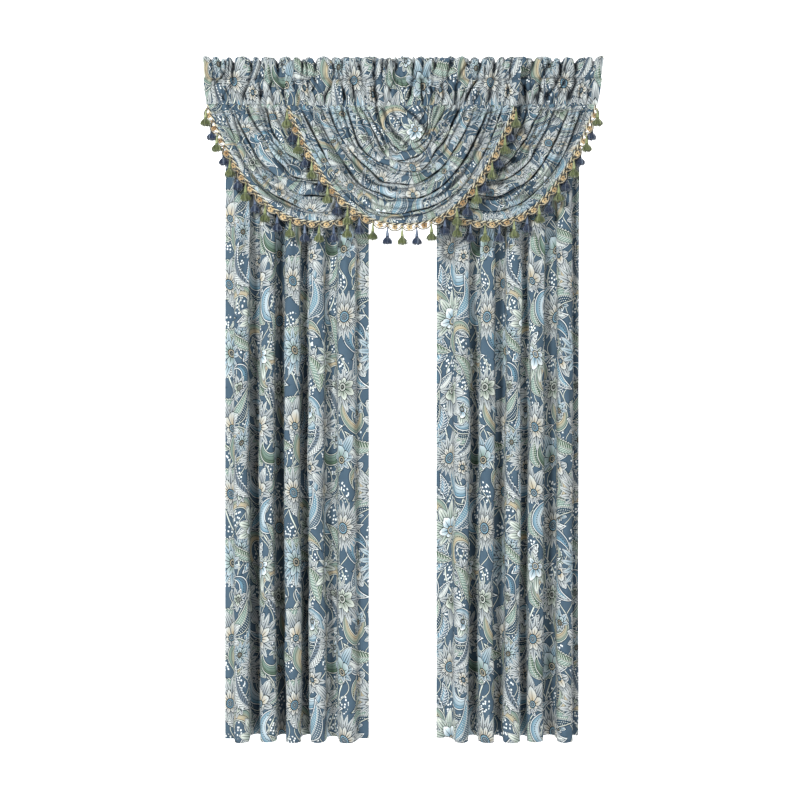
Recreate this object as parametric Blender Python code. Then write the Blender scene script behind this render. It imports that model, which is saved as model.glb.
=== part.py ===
"""A window dressing in metres, +Z up, its front facing -Y.

Two long rod-pocket curtains hang at the back. Two swagged valances hang in front of them, and a third
hangs in front of those. Each valance is edged with a scalloped trim and tassels. The rods are not part of
it, so every rod pocket is open. The origin is at the middle of the set, at the top edge of the long
curtains, over their rod.
"""

import math
import random
from typing import NamedTuple

import bmesh
import bpy

# The cloth
CLOTH = 0.002
SWAG_CLOTH = 0.0028
PIECE_GAP = 0.0005

# Heading: a standing ruffle over a rod pocket, both two cloths thick
RUFFLE_HEIGHT = 0.060
POCKET_HEIGHT = 0.082
HALF_SEAM = 0.0016
ROD_DROP = 0.022
POCKET_HALF_DEPTH = 0.014
SEAM_ALLOWANCE = 0.0025
GATHER_PITCH = 0.018
GATHER_HEIGHT = 0.008

# How much the gathers differ: each pair is the least and the most
PITCH_SHARE = (0.72, 1.28)
CREST_SHARE = (0.75, 1.0)
VALLEY_SHARE = (0.0, 0.25)
RUFFLE_LEAN = (0.006, 0.010)
STITCH_LEAN = (0.002, 0.004)
SEAM_LEAN = (0.001, 0.002)
CREST_TOP = (0.0, 0.004)
VALLEY_TOP = (-0.005, 0.0)

# The rods: the long curtains' one is at the origin, and the others hang lower and further forward
SIDE_ROD = -0.0458
MIDDLE_ROD = -0.0878
SIDE_ROD_DROP = 0.003
MIDDLE_ROD_DROP = 0.018

# The long curtains
CURTAIN_LENGTH = 2.134
CURTAIN_WIDTH = 0.453
LEFT_CURTAIN_EDGE = -0.562
RIGHT_CURTAIN_EDGE = 0.104

# The valances
VALANCE_WIDTH = 0.731
SIDE_VALANCE_EDGE = 0.6225
INNER_END_GAP = 0.0015
HEADING_TAPER_LEFT = 0.008
HEADING_TAPER_RIGHT = 0.018
SWAG_SEGMENTS = 24
SWAG_RIGHT_SHARE = 0.965
SWAG_CURVE = 2.4
INNER_END_OF_SWAG = 0.222

# The trim and its tassels
TASSELS = 25
TRIM_START = 0.010
TRIM_THICKNESS = 0.005
TRIM_AT_TASSEL = 0.012
TRIM_AT_SCALLOP = 0.021
SCALLOP_STATIONS = (0.32, 0.68)
TASSEL_ROOT = 0.005
TASSEL_STEM = 0.010
TASSEL_NECK = 0.032
TASSEL_LENGTH = 0.058
STEM_HALF = 0.0016
NECK_HALF = 0.0055
SKIRT_SPREAD = 0.0085
TASSEL_STAGGER = 0.008
STEM_STAGGER = 0.4


class Fold(NamedTuple):
    """A curtain's long fold: its centre from the left edge, half its width, and how far back it lies."""

    centre: float
    half_width: float
    back: float


class Level(NamedTuple):
    """How far down the curtain it is from the seam, and how much of a fold's depth is reached there."""

    down: float
    depth: float


class Pleat(NamedTuple):
    """A swag's U-shaped crease: half its width at the seam, how far it hangs, and the roll under it."""

    spread: float
    drop: float
    roll: float


LEFT_FOLDS = [
    Fold(0.014, 0.010, -0.003),
    Fold(0.055, 0.017, -0.048),
    Fold(0.094, 0.012, 0.045),
    Fold(0.137, 0.016, -0.046),
    Fold(0.177, 0.013, 0.044),
    Fold(0.216, 0.017, -0.050),
    Fold(0.254, 0.009, 0.040),
    Fold(0.293, 0.018, -0.052),
    Fold(0.335, 0.012, 0.020),
    Fold(0.386, 0.020, -0.050),
    Fold(0.436, 0.012, -0.002),
]
RIGHT_FOLDS = [
    Fold(0.026, 0.018, 0.006),
    Fold(0.079, 0.016, -0.048),
    Fold(0.119, 0.011, 0.038),
    Fold(0.157, 0.017, -0.052),
    Fold(0.197, 0.012, 0.030),
    Fold(0.239, 0.017, -0.052),
    Fold(0.275, 0.009, 0.032),
    Fold(0.312, 0.017, -0.046),
    Fold(0.359, 0.015, 0.034),
    Fold(0.401, 0.017, -0.047),
    Fold(0.438, 0.009, 0.036),
]
FOLD_SHOULDER = 0.82
CURTAIN_LEVELS = [
    Level(0.0, 0.05),
    Level(0.12, 0.32),
    Level(0.30, 0.54),
    Level(0.50, 0.62),
    Level(0.80, 0.80),
    Level(1.25, 0.93),
]
WANDER = 0.004
WANDER_RATE = 2.3
WANDER_FROM = 0.3

RECESS = [
    Pleat(0.045, 0.0, 0.0),
    Pleat(0.064, 0.070, -0.003),
]
PLEATS = [
    Pleat(0.085, 0.130, 0.013),
    Pleat(0.130, 0.166, 0.015),
    Pleat(0.181, 0.200, 0.017),
    Pleat(0.231, 0.240, 0.018),
    Pleat(0.277, 0.285, 0.016),
    Pleat(0.320, 0.331, 0.011),
]
HEM = Pleat(0.353, 0.367, 0.0)
ROLL_AT = 0.66
CREASE_BACK = 0.005
SWAG_SWELL = 0.009
HEM_FORWARD = 0.013
SWAG_UNEVEN = 0.0012
DEPTH_AT_SEAM = 0.55
DEPTH_RISE = 2.2
COLUMN_POWER = 1.25
HEM_STEPS = 400


def material(name, colour, roughness):
    made = bpy.data.materials.new(name)
    made.use_nodes = True
    shader = made.node_tree.nodes["Principled BSDF"]
    shader.inputs["Base Color"].default_value = (*colour, 1.0)
    shader.inputs["Roughness"].default_value = roughness
    shader.inputs["Metallic"].default_value = 0.0
    return made


def make_object(name, points, faces, finish):
    """A mesh object from points and faces, with its faces turned outwards."""
    mesh = bpy.data.meshes.new(name)
    mesh.from_pydata([tuple(p) for p in points], [], faces)
    shape = bmesh.new()
    shape.from_mesh(mesh)
    bmesh.ops.recalc_face_normals(shape, faces=shape.faces)
    shape.to_mesh(mesh)
    shape.free()
    mesh.materials.append(finish)
    made = bpy.data.objects.new(name, mesh)
    bpy.context.scene.collection.objects.link(made)
    return made


def ease(share):
    """Rises smoothly from 0 to 1 as share does."""
    share = min(1.0, max(0.0, share))
    return share * share * (3 - 2 * share)


def grid_faces(rows, columns, start=0):
    """The faces of a grid of points, stored row by row from start."""
    faces = []
    for row in range(rows - 1):
        for column in range(columns - 1):
            corner = start + row * columns + column
            faces.append((corner, corner + 1, corner + columns + 1, corner + columns))
    return faces


# Heading

SECTION_WALLS = [
    ("ruffle_front", "stitch_front"),
    ("stitch_front", "rod_front"),
    ("rod_front", "seam_front"),
    ("seam_front", "seam_back"),
    ("seam_back", "rod_back"),
    ("rod_back", "stitch_back"),
    ("stitch_back", "ruffle_back"),
    ("ruffle_back", "ruffle_front"),
    ("hollow_top", "hollow_front"),
    ("hollow_front", "hollow_foot"),
    ("hollow_foot", "hollow_back"),
    ("hollow_back", "hollow_top"),
]
SECTION_ENDS = [
    ("ruffle_front", "stitch_front", "stitch_back", "ruffle_back"),
    ("stitch_front", "hollow_top", "stitch_back"),
    ("stitch_front", "rod_front", "hollow_front", "hollow_top"),
    ("rod_front", "seam_front", "hollow_foot", "hollow_front"),
    ("seam_front", "seam_back", "hollow_foot"),
    ("seam_back", "rod_back", "hollow_back", "hollow_foot"),
    ("rod_back", "stitch_back", "hollow_top", "hollow_back"),
]
SECTION_POINTS = [start for start, end in SECTION_WALLS]


def heading_section(uneven, forward):
    """One gather's section, as (back, up) from the rod and the top for each of its points.

    forward is true where the gather stands out to the front, and false where it stands out to the back.
    """
    lean = -1 if forward else 1
    ruffle = lean * uneven.uniform(*RUFFLE_LEAN)
    stitch = lean * uneven.uniform(*STITCH_LEAN)
    seam = lean * uneven.uniform(*SEAM_LEAN)
    out = uneven.uniform(*CREST_SHARE) * GATHER_HEIGHT
    flat = uneven.uniform(*VALLEY_SHARE) * GATHER_HEIGHT
    front, back = (out, flat) if forward else (flat, out)
    top = uneven.uniform(*(CREST_TOP if forward else VALLEY_TOP))
    stitch_height = -RUFFLE_HEIGHT
    rod_height = stitch_height - ROD_DROP
    seam_height = stitch_height - POCKET_HEIGHT
    return {
        "ruffle_front": (ruffle - HALF_SEAM, top),
        "stitch_front": (stitch - HALF_SEAM, stitch_height),
        "rod_front": (-(POCKET_HALF_DEPTH + CLOTH + front), rod_height),
        "seam_front": (seam - HALF_SEAM, seam_height),
        "seam_back": (seam + HALF_SEAM, seam_height),
        "rod_back": (POCKET_HALF_DEPTH + CLOTH + back, rod_height),
        "stitch_back": (stitch + HALF_SEAM, stitch_height),
        "ruffle_back": (ruffle + HALF_SEAM, top),
        "hollow_top": (stitch, stitch_height - SEAM_ALLOWANCE),
        "hollow_front": (-(POCKET_HALF_DEPTH + front), rod_height),
        "hollow_foot": (seam, seam_height + SEAM_ALLOWANCE),
        "hollow_back": (POCKET_HALF_DEPTH + back, rod_height),
    }


def gather_lines(width, uneven):
    """Shares of the width at which the gathers' crests and valleys lie, from 0 to 1."""
    count = round(width / GATHER_PITCH)
    steps = [uneven.uniform(*PITCH_SHARE) for _ in range(count)]
    total = sum(steps)
    lines = [0.0]
    for step in steps:
        lines.append(lines[-1] + step / total)
    lines[-1] = 1.0
    return lines


def make_heading(name, place_x, rod, top, width, seed, finish):
    """A gathered heading. place_x gives a point's x from its shares of the width and of the way down."""
    uneven = random.Random(seed)
    lines = gather_lines(width, uneven)
    points = []
    for number, share in enumerate(lines):
        section = heading_section(uneven, number % 2 == 0)
        for key in SECTION_POINTS:
            back, up = section[key]
            down = min(1.0, max(0.0, -up / (RUFFLE_HEIGHT + POCKET_HEIGHT)))
            points.append((place_x(share, down), rod + back, top + up))
    size = len(SECTION_POINTS)
    index = {key: number for number, key in enumerate(SECTION_POINTS)}
    faces = []
    for number in range(len(lines) - 1):
        near, far = number * size, (number + 1) * size
        for one, other in SECTION_WALLS:
            faces.append((near + index[one], near + index[other], far + index[other], far + index[one]))
    for start in (0, (len(lines) - 1) * size):
        for corners in SECTION_ENDS:
            faces.append(tuple(start + index[key] for key in corners))
    return make_object(name, points, faces, finish)


# Long curtains


def fold_outline(folds):
    """The curtain's section at its hem, as (x, back) from its left edge, in one pass across it."""
    outline = [(0.0, folds[0].back)]
    for fold in folds:
        outline.append((fold.centre - fold.half_width, fold.back * FOLD_SHOULDER))
        outline.append((fold.centre, fold.back))
        outline.append((fold.centre + fold.half_width, fold.back * FOLD_SHOULDER))
    outline.append((CURTAIN_WIDTH, folds[-1].back))
    return outline


def make_curtain(name, edge, folds, phase, finish):
    """The curtain below its heading. Its folds deepen from the seam down, and wander a little."""
    outline = fold_outline(folds)
    seam = -(RUFFLE_HEIGHT + POCKET_HEIGHT) - PIECE_GAP
    fall = CURTAIN_LENGTH + seam
    levels = [*CURTAIN_LEVELS, Level(fall, 1.0)]
    points = []
    for down, depth in levels:
        wander = WANDER * math.sin(WANDER_RATE * down + phase) * ease(down / WANDER_FROM)
        for x, back in outline:
            inside = math.sin(math.pi * x / CURTAIN_WIDTH)
            points.append((edge + x + wander * inside, back * depth, seam - down))
    faces = grid_faces(len(levels), len(outline))
    made = make_object(name, points, faces, finish)
    solidify = made.modifiers.new("thickness", "SOLIDIFY")
    solidify.thickness = CLOTH
    solidify.offset = 0.0
    solidify.use_even_offset = True
    return made


def make_long_curtain(name, edge, folds, seed, finish):
    def place_x(share, down):
        return edge + share * CURTAIN_WIDTH

    make_heading(f"{name}_heading", place_x, 0.0, 0.0, CURTAIN_WIDTH, seed, finish)
    make_curtain(name, edge, folds, seed, finish)


# Valances


class Valance(NamedTuple):
    """Where a valance hangs. squeezed is -1 or 1 where its left or right half is pushed along, or 0."""

    name: str
    centre: float
    rod: float
    top: float
    squeezed: int
    seed: int


def squeeze(x, end, squeezed_end):
    """Draws x towards 0, hardly at all near 0, so that end comes to squeezed_end."""
    share = x / end
    tightness = end / squeezed_end - 1
    return x / (1 + tightness * share * share)


def heading_x(valance, share, down):
    half = VALANCE_WIDTH / 2
    left = -half + HEADING_TAPER_LEFT * down
    right = half - HEADING_TAPER_RIGHT * down
    x = left + (right - left) * share
    if x * valance.squeezed > 0:
        x = squeeze(x, half, SIDE_VALANCE_EDGE - half - INNER_END_GAP)
    return valance.centre + x


def swag_x(valance, x):
    if x * valance.squeezed > 0:
        x = squeeze(x, HEM.spread, INNER_END_OF_SWAG)
    return valance.centre + x


def swag_rows():
    """The swag's rows from its seam to its hem, as (spread, drop, back)."""
    rows = [(pleat.spread, pleat.drop, -pleat.roll) for pleat in RECESS]
    for number, pleat in enumerate(PLEATS):
        following = PLEATS[number + 1] if number + 1 < len(PLEATS) else HEM
        spread = pleat.spread + (following.spread - pleat.spread) * ROLL_AT
        drop = pleat.drop + (following.drop - pleat.drop) * ROLL_AT
        swell = SWAG_SWELL * number / len(PLEATS)
        rows.append((pleat.spread, pleat.drop, CREASE_BACK - swell))
        rows.append((spread, drop, -pleat.roll - swell))
    rows.append((HEM.spread, HEM.drop, -HEM_FORWARD))
    return rows


def swag_curve(spread, drop, across):
    """A U-shaped line's (x, height) at across, which runs from -1 at its left end to 1 at its right end."""
    reach = spread * SWAG_RIGHT_SHARE if across > 0 else spread
    return across * reach, -drop * (1 - abs(across) ** SWAG_CURVE)


def off_the_seam(across):
    """How much of a fold's depth is left at across: none at the seam, all of it at the middle of the swag."""
    down = 1 - abs(across) ** SWAG_CURVE
    return ease(DEPTH_RISE * down) * (DEPTH_AT_SEAM + (1 - DEPTH_AT_SEAM) * down)


def swag_column(step):
    """Where a column lies across the swag, from -1 to 1. The outer ones are closer together."""
    share = 2 * step / SWAG_SEGMENTS - 1
    return math.copysign(1 - (1 - abs(share)) ** COLUMN_POWER, share)


def make_swag(valance, finish):
    uneven = random.Random(valance.seed)
    seam = valance.top - RUFFLE_HEIGHT - POCKET_HEIGHT - PIECE_GAP
    rows = swag_rows()
    front = []
    for spread, drop, back in rows:
        for step in range(SWAG_SEGMENTS + 1):
            across = swag_column(step)
            x, height = swag_curve(spread, drop, across)
            depth = (back + uneven.uniform(-SWAG_UNEVEN, SWAG_UNEVEN)) * off_the_seam(across)
            if drop == 0:
                depth = 0.0
            front.append((swag_x(valance, x), valance.rod + depth, seam + height))
    columns = SWAG_SEGMENTS + 1
    count = len(front)
    points = [(x, y - SWAG_CLOTH / 2, z) for x, y, z in front]
    points += [(x, y + SWAG_CLOTH / 2, z) for x, y, z in front]
    faces = grid_faces(len(rows), columns)
    faces += grid_faces(len(rows), columns, count)
    rim = list(range(columns))
    rim += [row * columns + columns - 1 for row in range(1, len(rows))]
    rim += [count - 1 - step for step in range(1, columns)]
    rim += [row * columns for row in range(len(rows) - 2, 0, -1)]
    for number, near in enumerate(rim):
        far = rim[(number + 1) % len(rim)]
        faces.append((near, far, far + count, near + count))
    return make_object(valance.name, points, faces, finish)


# Trim and tassels


def hem_line(valance):
    """Close points along a valance's hem, as (x, back, height, distance along the uncut hem)."""
    seam = valance.top - RUFFLE_HEIGHT - POCKET_HEIGHT - PIECE_GAP
    line = []
    length = 0.0
    before = None
    for step in range(HEM_STEPS + 1):
        across = 2 * step / HEM_STEPS - 1
        x, height = swag_curve(HEM.spread, HEM.drop, across)
        if before:
            length += math.dist(before, (x, height))
        before = (x, height)
        back = valance.rod - HEM_FORWARD * off_the_seam(across)
        line.append((swag_x(valance, x), back, seam + height, length))
    return line


def along(line, distance):
    """The point on the hem at a distance, and the hem's direction there as (x, height)."""
    number = next(n for n, point in enumerate(line) if point[3] >= distance)
    number = max(1, number)
    before, after = line[number - 1], line[number]
    share = (distance - before[3]) / (after[3] - before[3])
    point = [a + (b - a) * share for a, b in zip(before[:3], after[:3])]
    run, rise = after[0] - before[0], after[2] - before[2]
    size = math.hypot(run, rise)
    return point, (run / size, rise / size)


class Skin:
    """Points and faces, built ring by ring."""

    def __init__(self):
        self.points = []
        self.faces = []

    def ring(self, points):
        start = len(self.points)
        self.points += points
        return list(range(start, len(self.points)))

    def join(self, one, other, skip=()):
        """Walls between two rings, but for the sides in skip."""
        for side in range(len(one)):
            if side not in skip:
                far = (side + 1) % len(one)
                self.faces.append((one[side], one[far], other[far], other[side]))


def trim_ring(line, distance, width):
    """The four corners of the trim's section: inner front, inner back, outer back, outer front."""
    (x, y, z), (run, rise) = along(line, distance)
    half = TRIM_THICKNESS / 2
    corners = []
    for outward, back in ((PIECE_GAP, -half), (PIECE_GAP, half), (width, half), (width, -half)):
        corners.append((x + rise * outward, y + back, z - run * outward))
    return corners


# Which way each lock of a skirt spreads: back, right, front, left
LOCK_SIDES = [(0, 1), (1, 0), (0, -1), (-1, 0)]


def square_ring(x, y, z, half):
    """A level ring of corners in a tassel root's order: left back, right back, right front, left front."""
    left, right = x - half, x + half
    front, back = y - half, y + half
    return [(left, back, z), (right, back, z), (right, front, z), (left, front, z)]


def add_lock(skin, lock, out_x, out_y, foot):
    """One lock of a tassel's skirt: the three corners of lock, spread outwards as they go down to foot."""
    corners = [skin.points[number] for number in lock]
    tip = skin.ring([(x + out_x * SKIRT_SPREAD, y + out_y * SKIRT_SPREAD, foot) for x, y, z in corners])
    skin.join(lock, tip)
    skin.faces.append(tuple(tip))


def add_tassel(skin, root, stagger):
    """A stem and a neck from the trim's root corners, and four locks that stand apart under the neck."""
    corners = [skin.points[number] for number in root]
    x, y, z = (sum(values) / 4 for values in zip(*corners))
    stem = skin.ring(square_ring(x, y + stagger * STEM_STAGGER, z - TASSEL_STEM, STEM_HALF))
    neck = skin.ring(square_ring(x, y + stagger, z - TASSEL_NECK, NECK_HALF))
    skin.join(root, stem)
    skin.join(stem, neck)
    middle = skin.ring([(x, y + stagger, z - TASSEL_NECK)])[0]
    for side, (out_x, out_y) in enumerate(LOCK_SIDES):
        add_lock(skin, [neck[side], neck[(side + 1) % 4], middle], out_x, out_y, z - TASSEL_LENGTH)


def make_fringe(valance, finish):
    """The trim along the hem, widest between two tassels, with every tassel grown from its lower edge."""
    line = hem_line(valance)
    run = line[-1][3] - 2 * TRIM_START
    pitch = (run - TASSEL_ROOT) / (TASSELS - 1)
    skin = Skin()
    previous = None
    roots = []
    for number in range(TASSELS):
        centre = TRIM_START + TASSEL_ROOT / 2 + number * pitch
        before = skin.ring(trim_ring(line, centre - TASSEL_ROOT / 2, TRIM_AT_TASSEL))
        after = skin.ring(trim_ring(line, centre + TASSEL_ROOT / 2, TRIM_AT_TASSEL))
        if previous:
            skin.join(previous, before)
        else:
            skin.faces.append(tuple(before))
        skin.join(before, after, skip=(2,))
        roots.append([before[2], after[2], after[3], before[3]])
        previous = after
        if number < TASSELS - 1:
            for share in SCALLOP_STATIONS:
                scallop = skin.ring(trim_ring(line, centre + share * pitch, TRIM_AT_SCALLOP))
                skin.join(previous, scallop)
                previous = scallop
    skin.faces.append(tuple(previous))
    for number, root in enumerate(roots):
        add_tassel(skin, root, TASSEL_STAGGER if number % 2 else -TASSEL_STAGGER)
    return make_object(f"{valance.name}_fringe", skin.points, skin.faces, finish)


def make_valance(valance, cloth, trim):
    def place_x(share, down):
        return heading_x(valance, share, down)

    name = f"{valance.name}_heading"
    make_heading(name, place_x, valance.rod, valance.top, VALANCE_WIDTH, valance.seed, cloth)
    make_swag(valance, cloth)
    make_fringe(valance, trim)


def main():
    for old in list(bpy.data.objects):
        bpy.data.objects.remove(old)
    cloth = material("printed_cloth", (0.16, 0.24, 0.34), 0.85)
    trim = material("trim", (0.34, 0.33, 0.18), 0.8)
    make_long_curtain("curtain_left", LEFT_CURTAIN_EDGE, LEFT_FOLDS, 15, cloth)
    make_long_curtain("curtain_right", RIGHT_CURTAIN_EDGE, RIGHT_FOLDS, 13, cloth)
    side = SIDE_VALANCE_EDGE - VALANCE_WIDTH / 2
    for valance in (
        Valance("valance_left", -side, SIDE_ROD, -SIDE_ROD_DROP, 1, 21),
        Valance("valance_right", side, SIDE_ROD, -SIDE_ROD_DROP, -1, 31),
        Valance("valance_middle", 0.0, MIDDLE_ROD, -MIDDLE_ROD_DROP, 0, 43),
    ):
        make_valance(valance, cloth, trim)


main()
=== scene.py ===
"""How the window dressing looks: printed cloth on its own folds, corded trim and tassels, in metres.

The sizes of the folds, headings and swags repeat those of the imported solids.
"""

import math
import random
from typing import NamedTuple

import bpy
import numpy as np
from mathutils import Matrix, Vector


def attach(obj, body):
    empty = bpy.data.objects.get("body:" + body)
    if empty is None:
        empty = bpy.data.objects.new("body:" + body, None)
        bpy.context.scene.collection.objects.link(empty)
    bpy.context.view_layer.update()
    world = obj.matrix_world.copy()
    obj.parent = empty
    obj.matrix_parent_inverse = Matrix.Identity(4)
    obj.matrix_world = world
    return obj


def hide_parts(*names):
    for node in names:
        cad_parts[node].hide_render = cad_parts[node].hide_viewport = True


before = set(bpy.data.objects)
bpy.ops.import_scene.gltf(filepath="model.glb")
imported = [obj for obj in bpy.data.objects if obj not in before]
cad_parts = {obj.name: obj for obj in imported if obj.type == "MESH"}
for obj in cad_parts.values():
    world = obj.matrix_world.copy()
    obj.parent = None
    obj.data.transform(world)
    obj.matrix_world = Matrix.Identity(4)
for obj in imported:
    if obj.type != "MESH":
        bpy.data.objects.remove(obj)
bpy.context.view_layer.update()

MM = 0.001
TURN = 2 * math.pi

# The headings
RUFFLE_HEIGHT = 0.060
POCKET_HEIGHT = 0.082
HEADING_HEIGHT = RUFFLE_HEIGHT + POCKET_HEIGHT
PIECE_GAP = 0.0005

# The rods: the long curtains' one is at the origin, and the others hang lower and further forward
SIDE_ROD = -0.0458
MIDDLE_ROD = -0.0878
SIDE_ROD_DROP = 0.003
MIDDLE_ROD_DROP = 0.018

# The long curtains
CURTAIN_LENGTH = 2.134
CURTAIN_WIDTH = 0.453
CURTAIN_FLAT_WIDTH = 1.27
LEFT_CURTAIN_EDGE = -0.562
RIGHT_CURTAIN_EDGE = 0.104

# The valances
VALANCE_WIDTH = 0.731
VALANCE_FLAT_WIDTH = 1.10
SIDE_VALANCE_EDGE = 0.6225
INNER_END_GAP = 0.0015
HEADING_TAPER_LEFT = 0.008
HEADING_TAPER_RIGHT = 0.018
SWAG_RIGHT_SHARE = 0.965
SWAG_CURVE = 2.4
INNER_END_OF_SWAG = 0.222

# The cloth
CLOTH_THICKNESS = 0.0014

# The trim and its tassels
TASSELS = 25
TRIM_START = 0.010
TASSEL_ROOT = 0.005
TRIM_AT_TASSEL = 0.012
TASSEL_STAGGER = 0.008


class Fold(NamedTuple):
    """A curtain's long fold: its centre from the left edge, half its width, and how far back it lies."""

    centre: float
    half_width: float
    back: float


class Pleat(NamedTuple):
    """A swag's U-shaped crease: half its width at the seam, how far it hangs, and the roll under it."""

    spread: float
    drop: float
    roll: float


class Crease(NamedTuple):
    """A heading's crease in millimetres: x at the top, stitches and seam, half width, and depths there."""

    top: float
    stitches: float
    seam: float
    half_width: float
    top_depth: float
    stitch_depth: float
    pocket_depth: float


LEFT_FOLDS = [
    Fold(0.014, 0.010, -0.003),
    Fold(0.055, 0.017, -0.048),
    Fold(0.094, 0.012, 0.045),
    Fold(0.137, 0.016, -0.046),
    Fold(0.177, 0.013, 0.044),
    Fold(0.216, 0.017, -0.050),
    Fold(0.254, 0.009, 0.040),
    Fold(0.293, 0.018, -0.052),
    Fold(0.335, 0.012, 0.020),
    Fold(0.386, 0.020, -0.050),
    Fold(0.436, 0.012, -0.002),
]
RIGHT_FOLDS = [
    Fold(0.026, 0.018, 0.006),
    Fold(0.079, 0.016, -0.048),
    Fold(0.119, 0.011, 0.038),
    Fold(0.157, 0.017, -0.052),
    Fold(0.197, 0.012, 0.030),
    Fold(0.239, 0.017, -0.052),
    Fold(0.275, 0.009, 0.032),
    Fold(0.312, 0.017, -0.046),
    Fold(0.359, 0.015, 0.034),
    Fold(0.401, 0.017, -0.047),
    Fold(0.438, 0.009, 0.036),
]
FOLD_SHOULDER = 0.82
LEVELS_DOWN = [0.0, 0.12, 0.30, 0.50, 0.80, 1.25, 1.9915]
LEVELS_DEPTH = [0.05, 0.32, 0.54, 0.62, 0.80, 0.93, 1.0]

SWAG_LINES = [
    Pleat(0.045, 0.0, 0.0),
    Pleat(0.064, 0.070, 0.002),
    Pleat(0.085, 0.130, 0.013),
    Pleat(0.130, 0.166, 0.015),
    Pleat(0.181, 0.200, 0.017),
    Pleat(0.231, 0.240, 0.018),
    Pleat(0.277, 0.285, 0.016),
    Pleat(0.320, 0.331, 0.011),
    Pleat(0.353, 0.367, 0.0),
]
HEM = SWAG_LINES[-1]
ROLL_PEAK = 0.66
CREASE_BACK = 0.005
SWAG_SWELL = 0.009
HEM_FORWARD = 0.013
DEPTH_AT_SEAM = 0.55
DEPTH_RISE = 2.2

# The creases of a heading of this width, in millimetres
CREASED_WIDTH = 731
HEADING_CREASES = [
    Crease(25, 30, 41, 4.0, 7, 7, 6),
    Crease(52, 55, 60, 3.5, 9, 6, 3),
    Crease(67, 66, 78, 3.5, 9, 6, 5),
    Crease(94, 92, 84, 5.0, 12, 8, 4),
    Crease(148, 147, 112, 4.5, 12, 9, 10),
    Crease(178, 176, 180, 4.0, 9, 8, 9),
    Crease(204, 208, 216, 4.0, 2, 6, 6),
    Crease(229, 236, 262, 5.0, 14, 8, 5),
    Crease(275, 277, 284, 4.5, 9, 9, 11),
    Crease(303, 304, 312, 3.5, 9, 6, 3),
    Crease(315, 318, 330, 3.5, 9, 6, 4),
    Crease(345, 343, 352, 5.5, 13, 8, 4),
    Crease(396, 397, 380, 4.5, 12, 9, 9),
    Crease(427, 425, 429, 4.0, 8, 8, 10),
    Crease(463, 460, 458, 4.5, 11, 8, 6),
    Crease(490, 492, 494, 4.0, 2, 6, 8),
    Crease(514, 508, 520, 5.0, 10, 7, 4),
    Crease(572, 542, 534, 5.0, 11, 9, 9),
    Crease(601, 598, 556, 4.5, 12, 8, 9),
    Crease(622, 620, 590, 4.0, 2, 5, 7),
    Crease(646, 650, 635, 6.0, 13, 8, 10),
    Crease(676, 674, 668, 4.0, 5, 6, 6),
    Crease(700, 698, 694, 4.0, 8, 6, 5),
]


class Valance(NamedTuple):
    """Where a valance hangs. squeezed is -1 or 1 where its left or right half is pushed along, or 0."""

    name: str
    centre: float
    rod: float
    top: float
    squeezed: int
    seed: int


# Sums on arrays


def ease(share):
    """Rises smoothly from 0 to 1 as share does."""
    share = np.clip(share, 0.0, 1.0)
    return share * share * (3 - 2 * share)


def smooth(knots, values, places):
    """The height at each of places of a smooth line that goes through values at knots."""
    knots = np.asarray(knots, float)
    values = np.asarray(values, float)
    slopes = np.gradient(values, knots)
    number = np.clip(np.searchsorted(knots, places) - 1, 0, len(knots) - 2)
    step = knots[number + 1] - knots[number]
    share = np.clip((places - knots[number]) / step, 0.0, 1.0)
    square, cube = share**2, share**3
    line = (2 * cube - 3 * square + 1) * values[number]
    line = line + (cube - 2 * square + share) * slopes[number] * step
    line = line + (3 * square - 2 * cube) * values[number + 1]
    return line + (cube - square) * slopes[number + 1] * step


def ripples(across, down, seed, pitch_across, pitch_down, count=6):
    """A smooth uneven surface, mostly from -1 to 1, made of a few crossing waves."""
    uneven = random.Random(seed)
    total = 0.0
    for _ in range(count):
        one = uneven.choice((-1, 1)) * uneven.uniform(0.55, 1.5) * TURN / pitch_across
        other = uneven.uniform(0.55, 1.5) * TURN / pitch_down
        total = total + np.sin(one * across + other * down + uneven.uniform(0, TURN))
    return total / math.sqrt(count)


def side_by_side(*parts):
    """Arrays that fit each other, as the last axis of one array."""
    return np.stack(np.broadcast_arrays(*parts), axis=-1)


def running_total(steps):
    """The total of steps at each point of a line, from 0 at its start."""
    return np.concatenate([[0.0], np.cumsum(steps)])


def normals_of(grid):
    """The direction in which a grid of points faces. Its rows run to +X and follow each other down."""
    across = np.gradient(grid, axis=1)
    down = np.gradient(grid, axis=0)
    normal = np.cross(across, down)
    size = np.linalg.norm(normal, axis=2, keepdims=True)
    return -normal / np.maximum(size, 1e-12)


def swollen(grid, places, seed, held, waves):
    """The grid made softly uneven where held lets it. Each wave is a size, and its pitch both ways."""
    swell = 0.0
    for number, (size, across, down) in enumerate(waves):
        swell = swell + size * ripples(*places, seed + number, across, down, 8)
    return grid + normals_of(grid) * (swell * held)[:, :, None]


def down_grid(grid):
    """The distance down each column of a grid of points, from its top."""
    steps = np.linalg.norm(np.diff(grid, axis=0), axis=2)
    return np.concatenate([np.zeros((1, steps.shape[1])), np.cumsum(steps, axis=0)])


# Meshes


def grid_faces(rows, columns, start=0):
    """The faces of a grid of points, stored row by row from start."""
    corner = start + (np.arange(rows - 1)[:, None] * columns + np.arange(columns - 1)[None, :]).ravel()
    return np.stack([corner, corner + columns, corner + columns + 1, corner + 1], axis=1)


def show(name, data):
    """A new object in the scene."""
    made = bpy.data.objects.new(name, data)
    bpy.context.scene.collection.objects.link(made)
    return made


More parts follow.
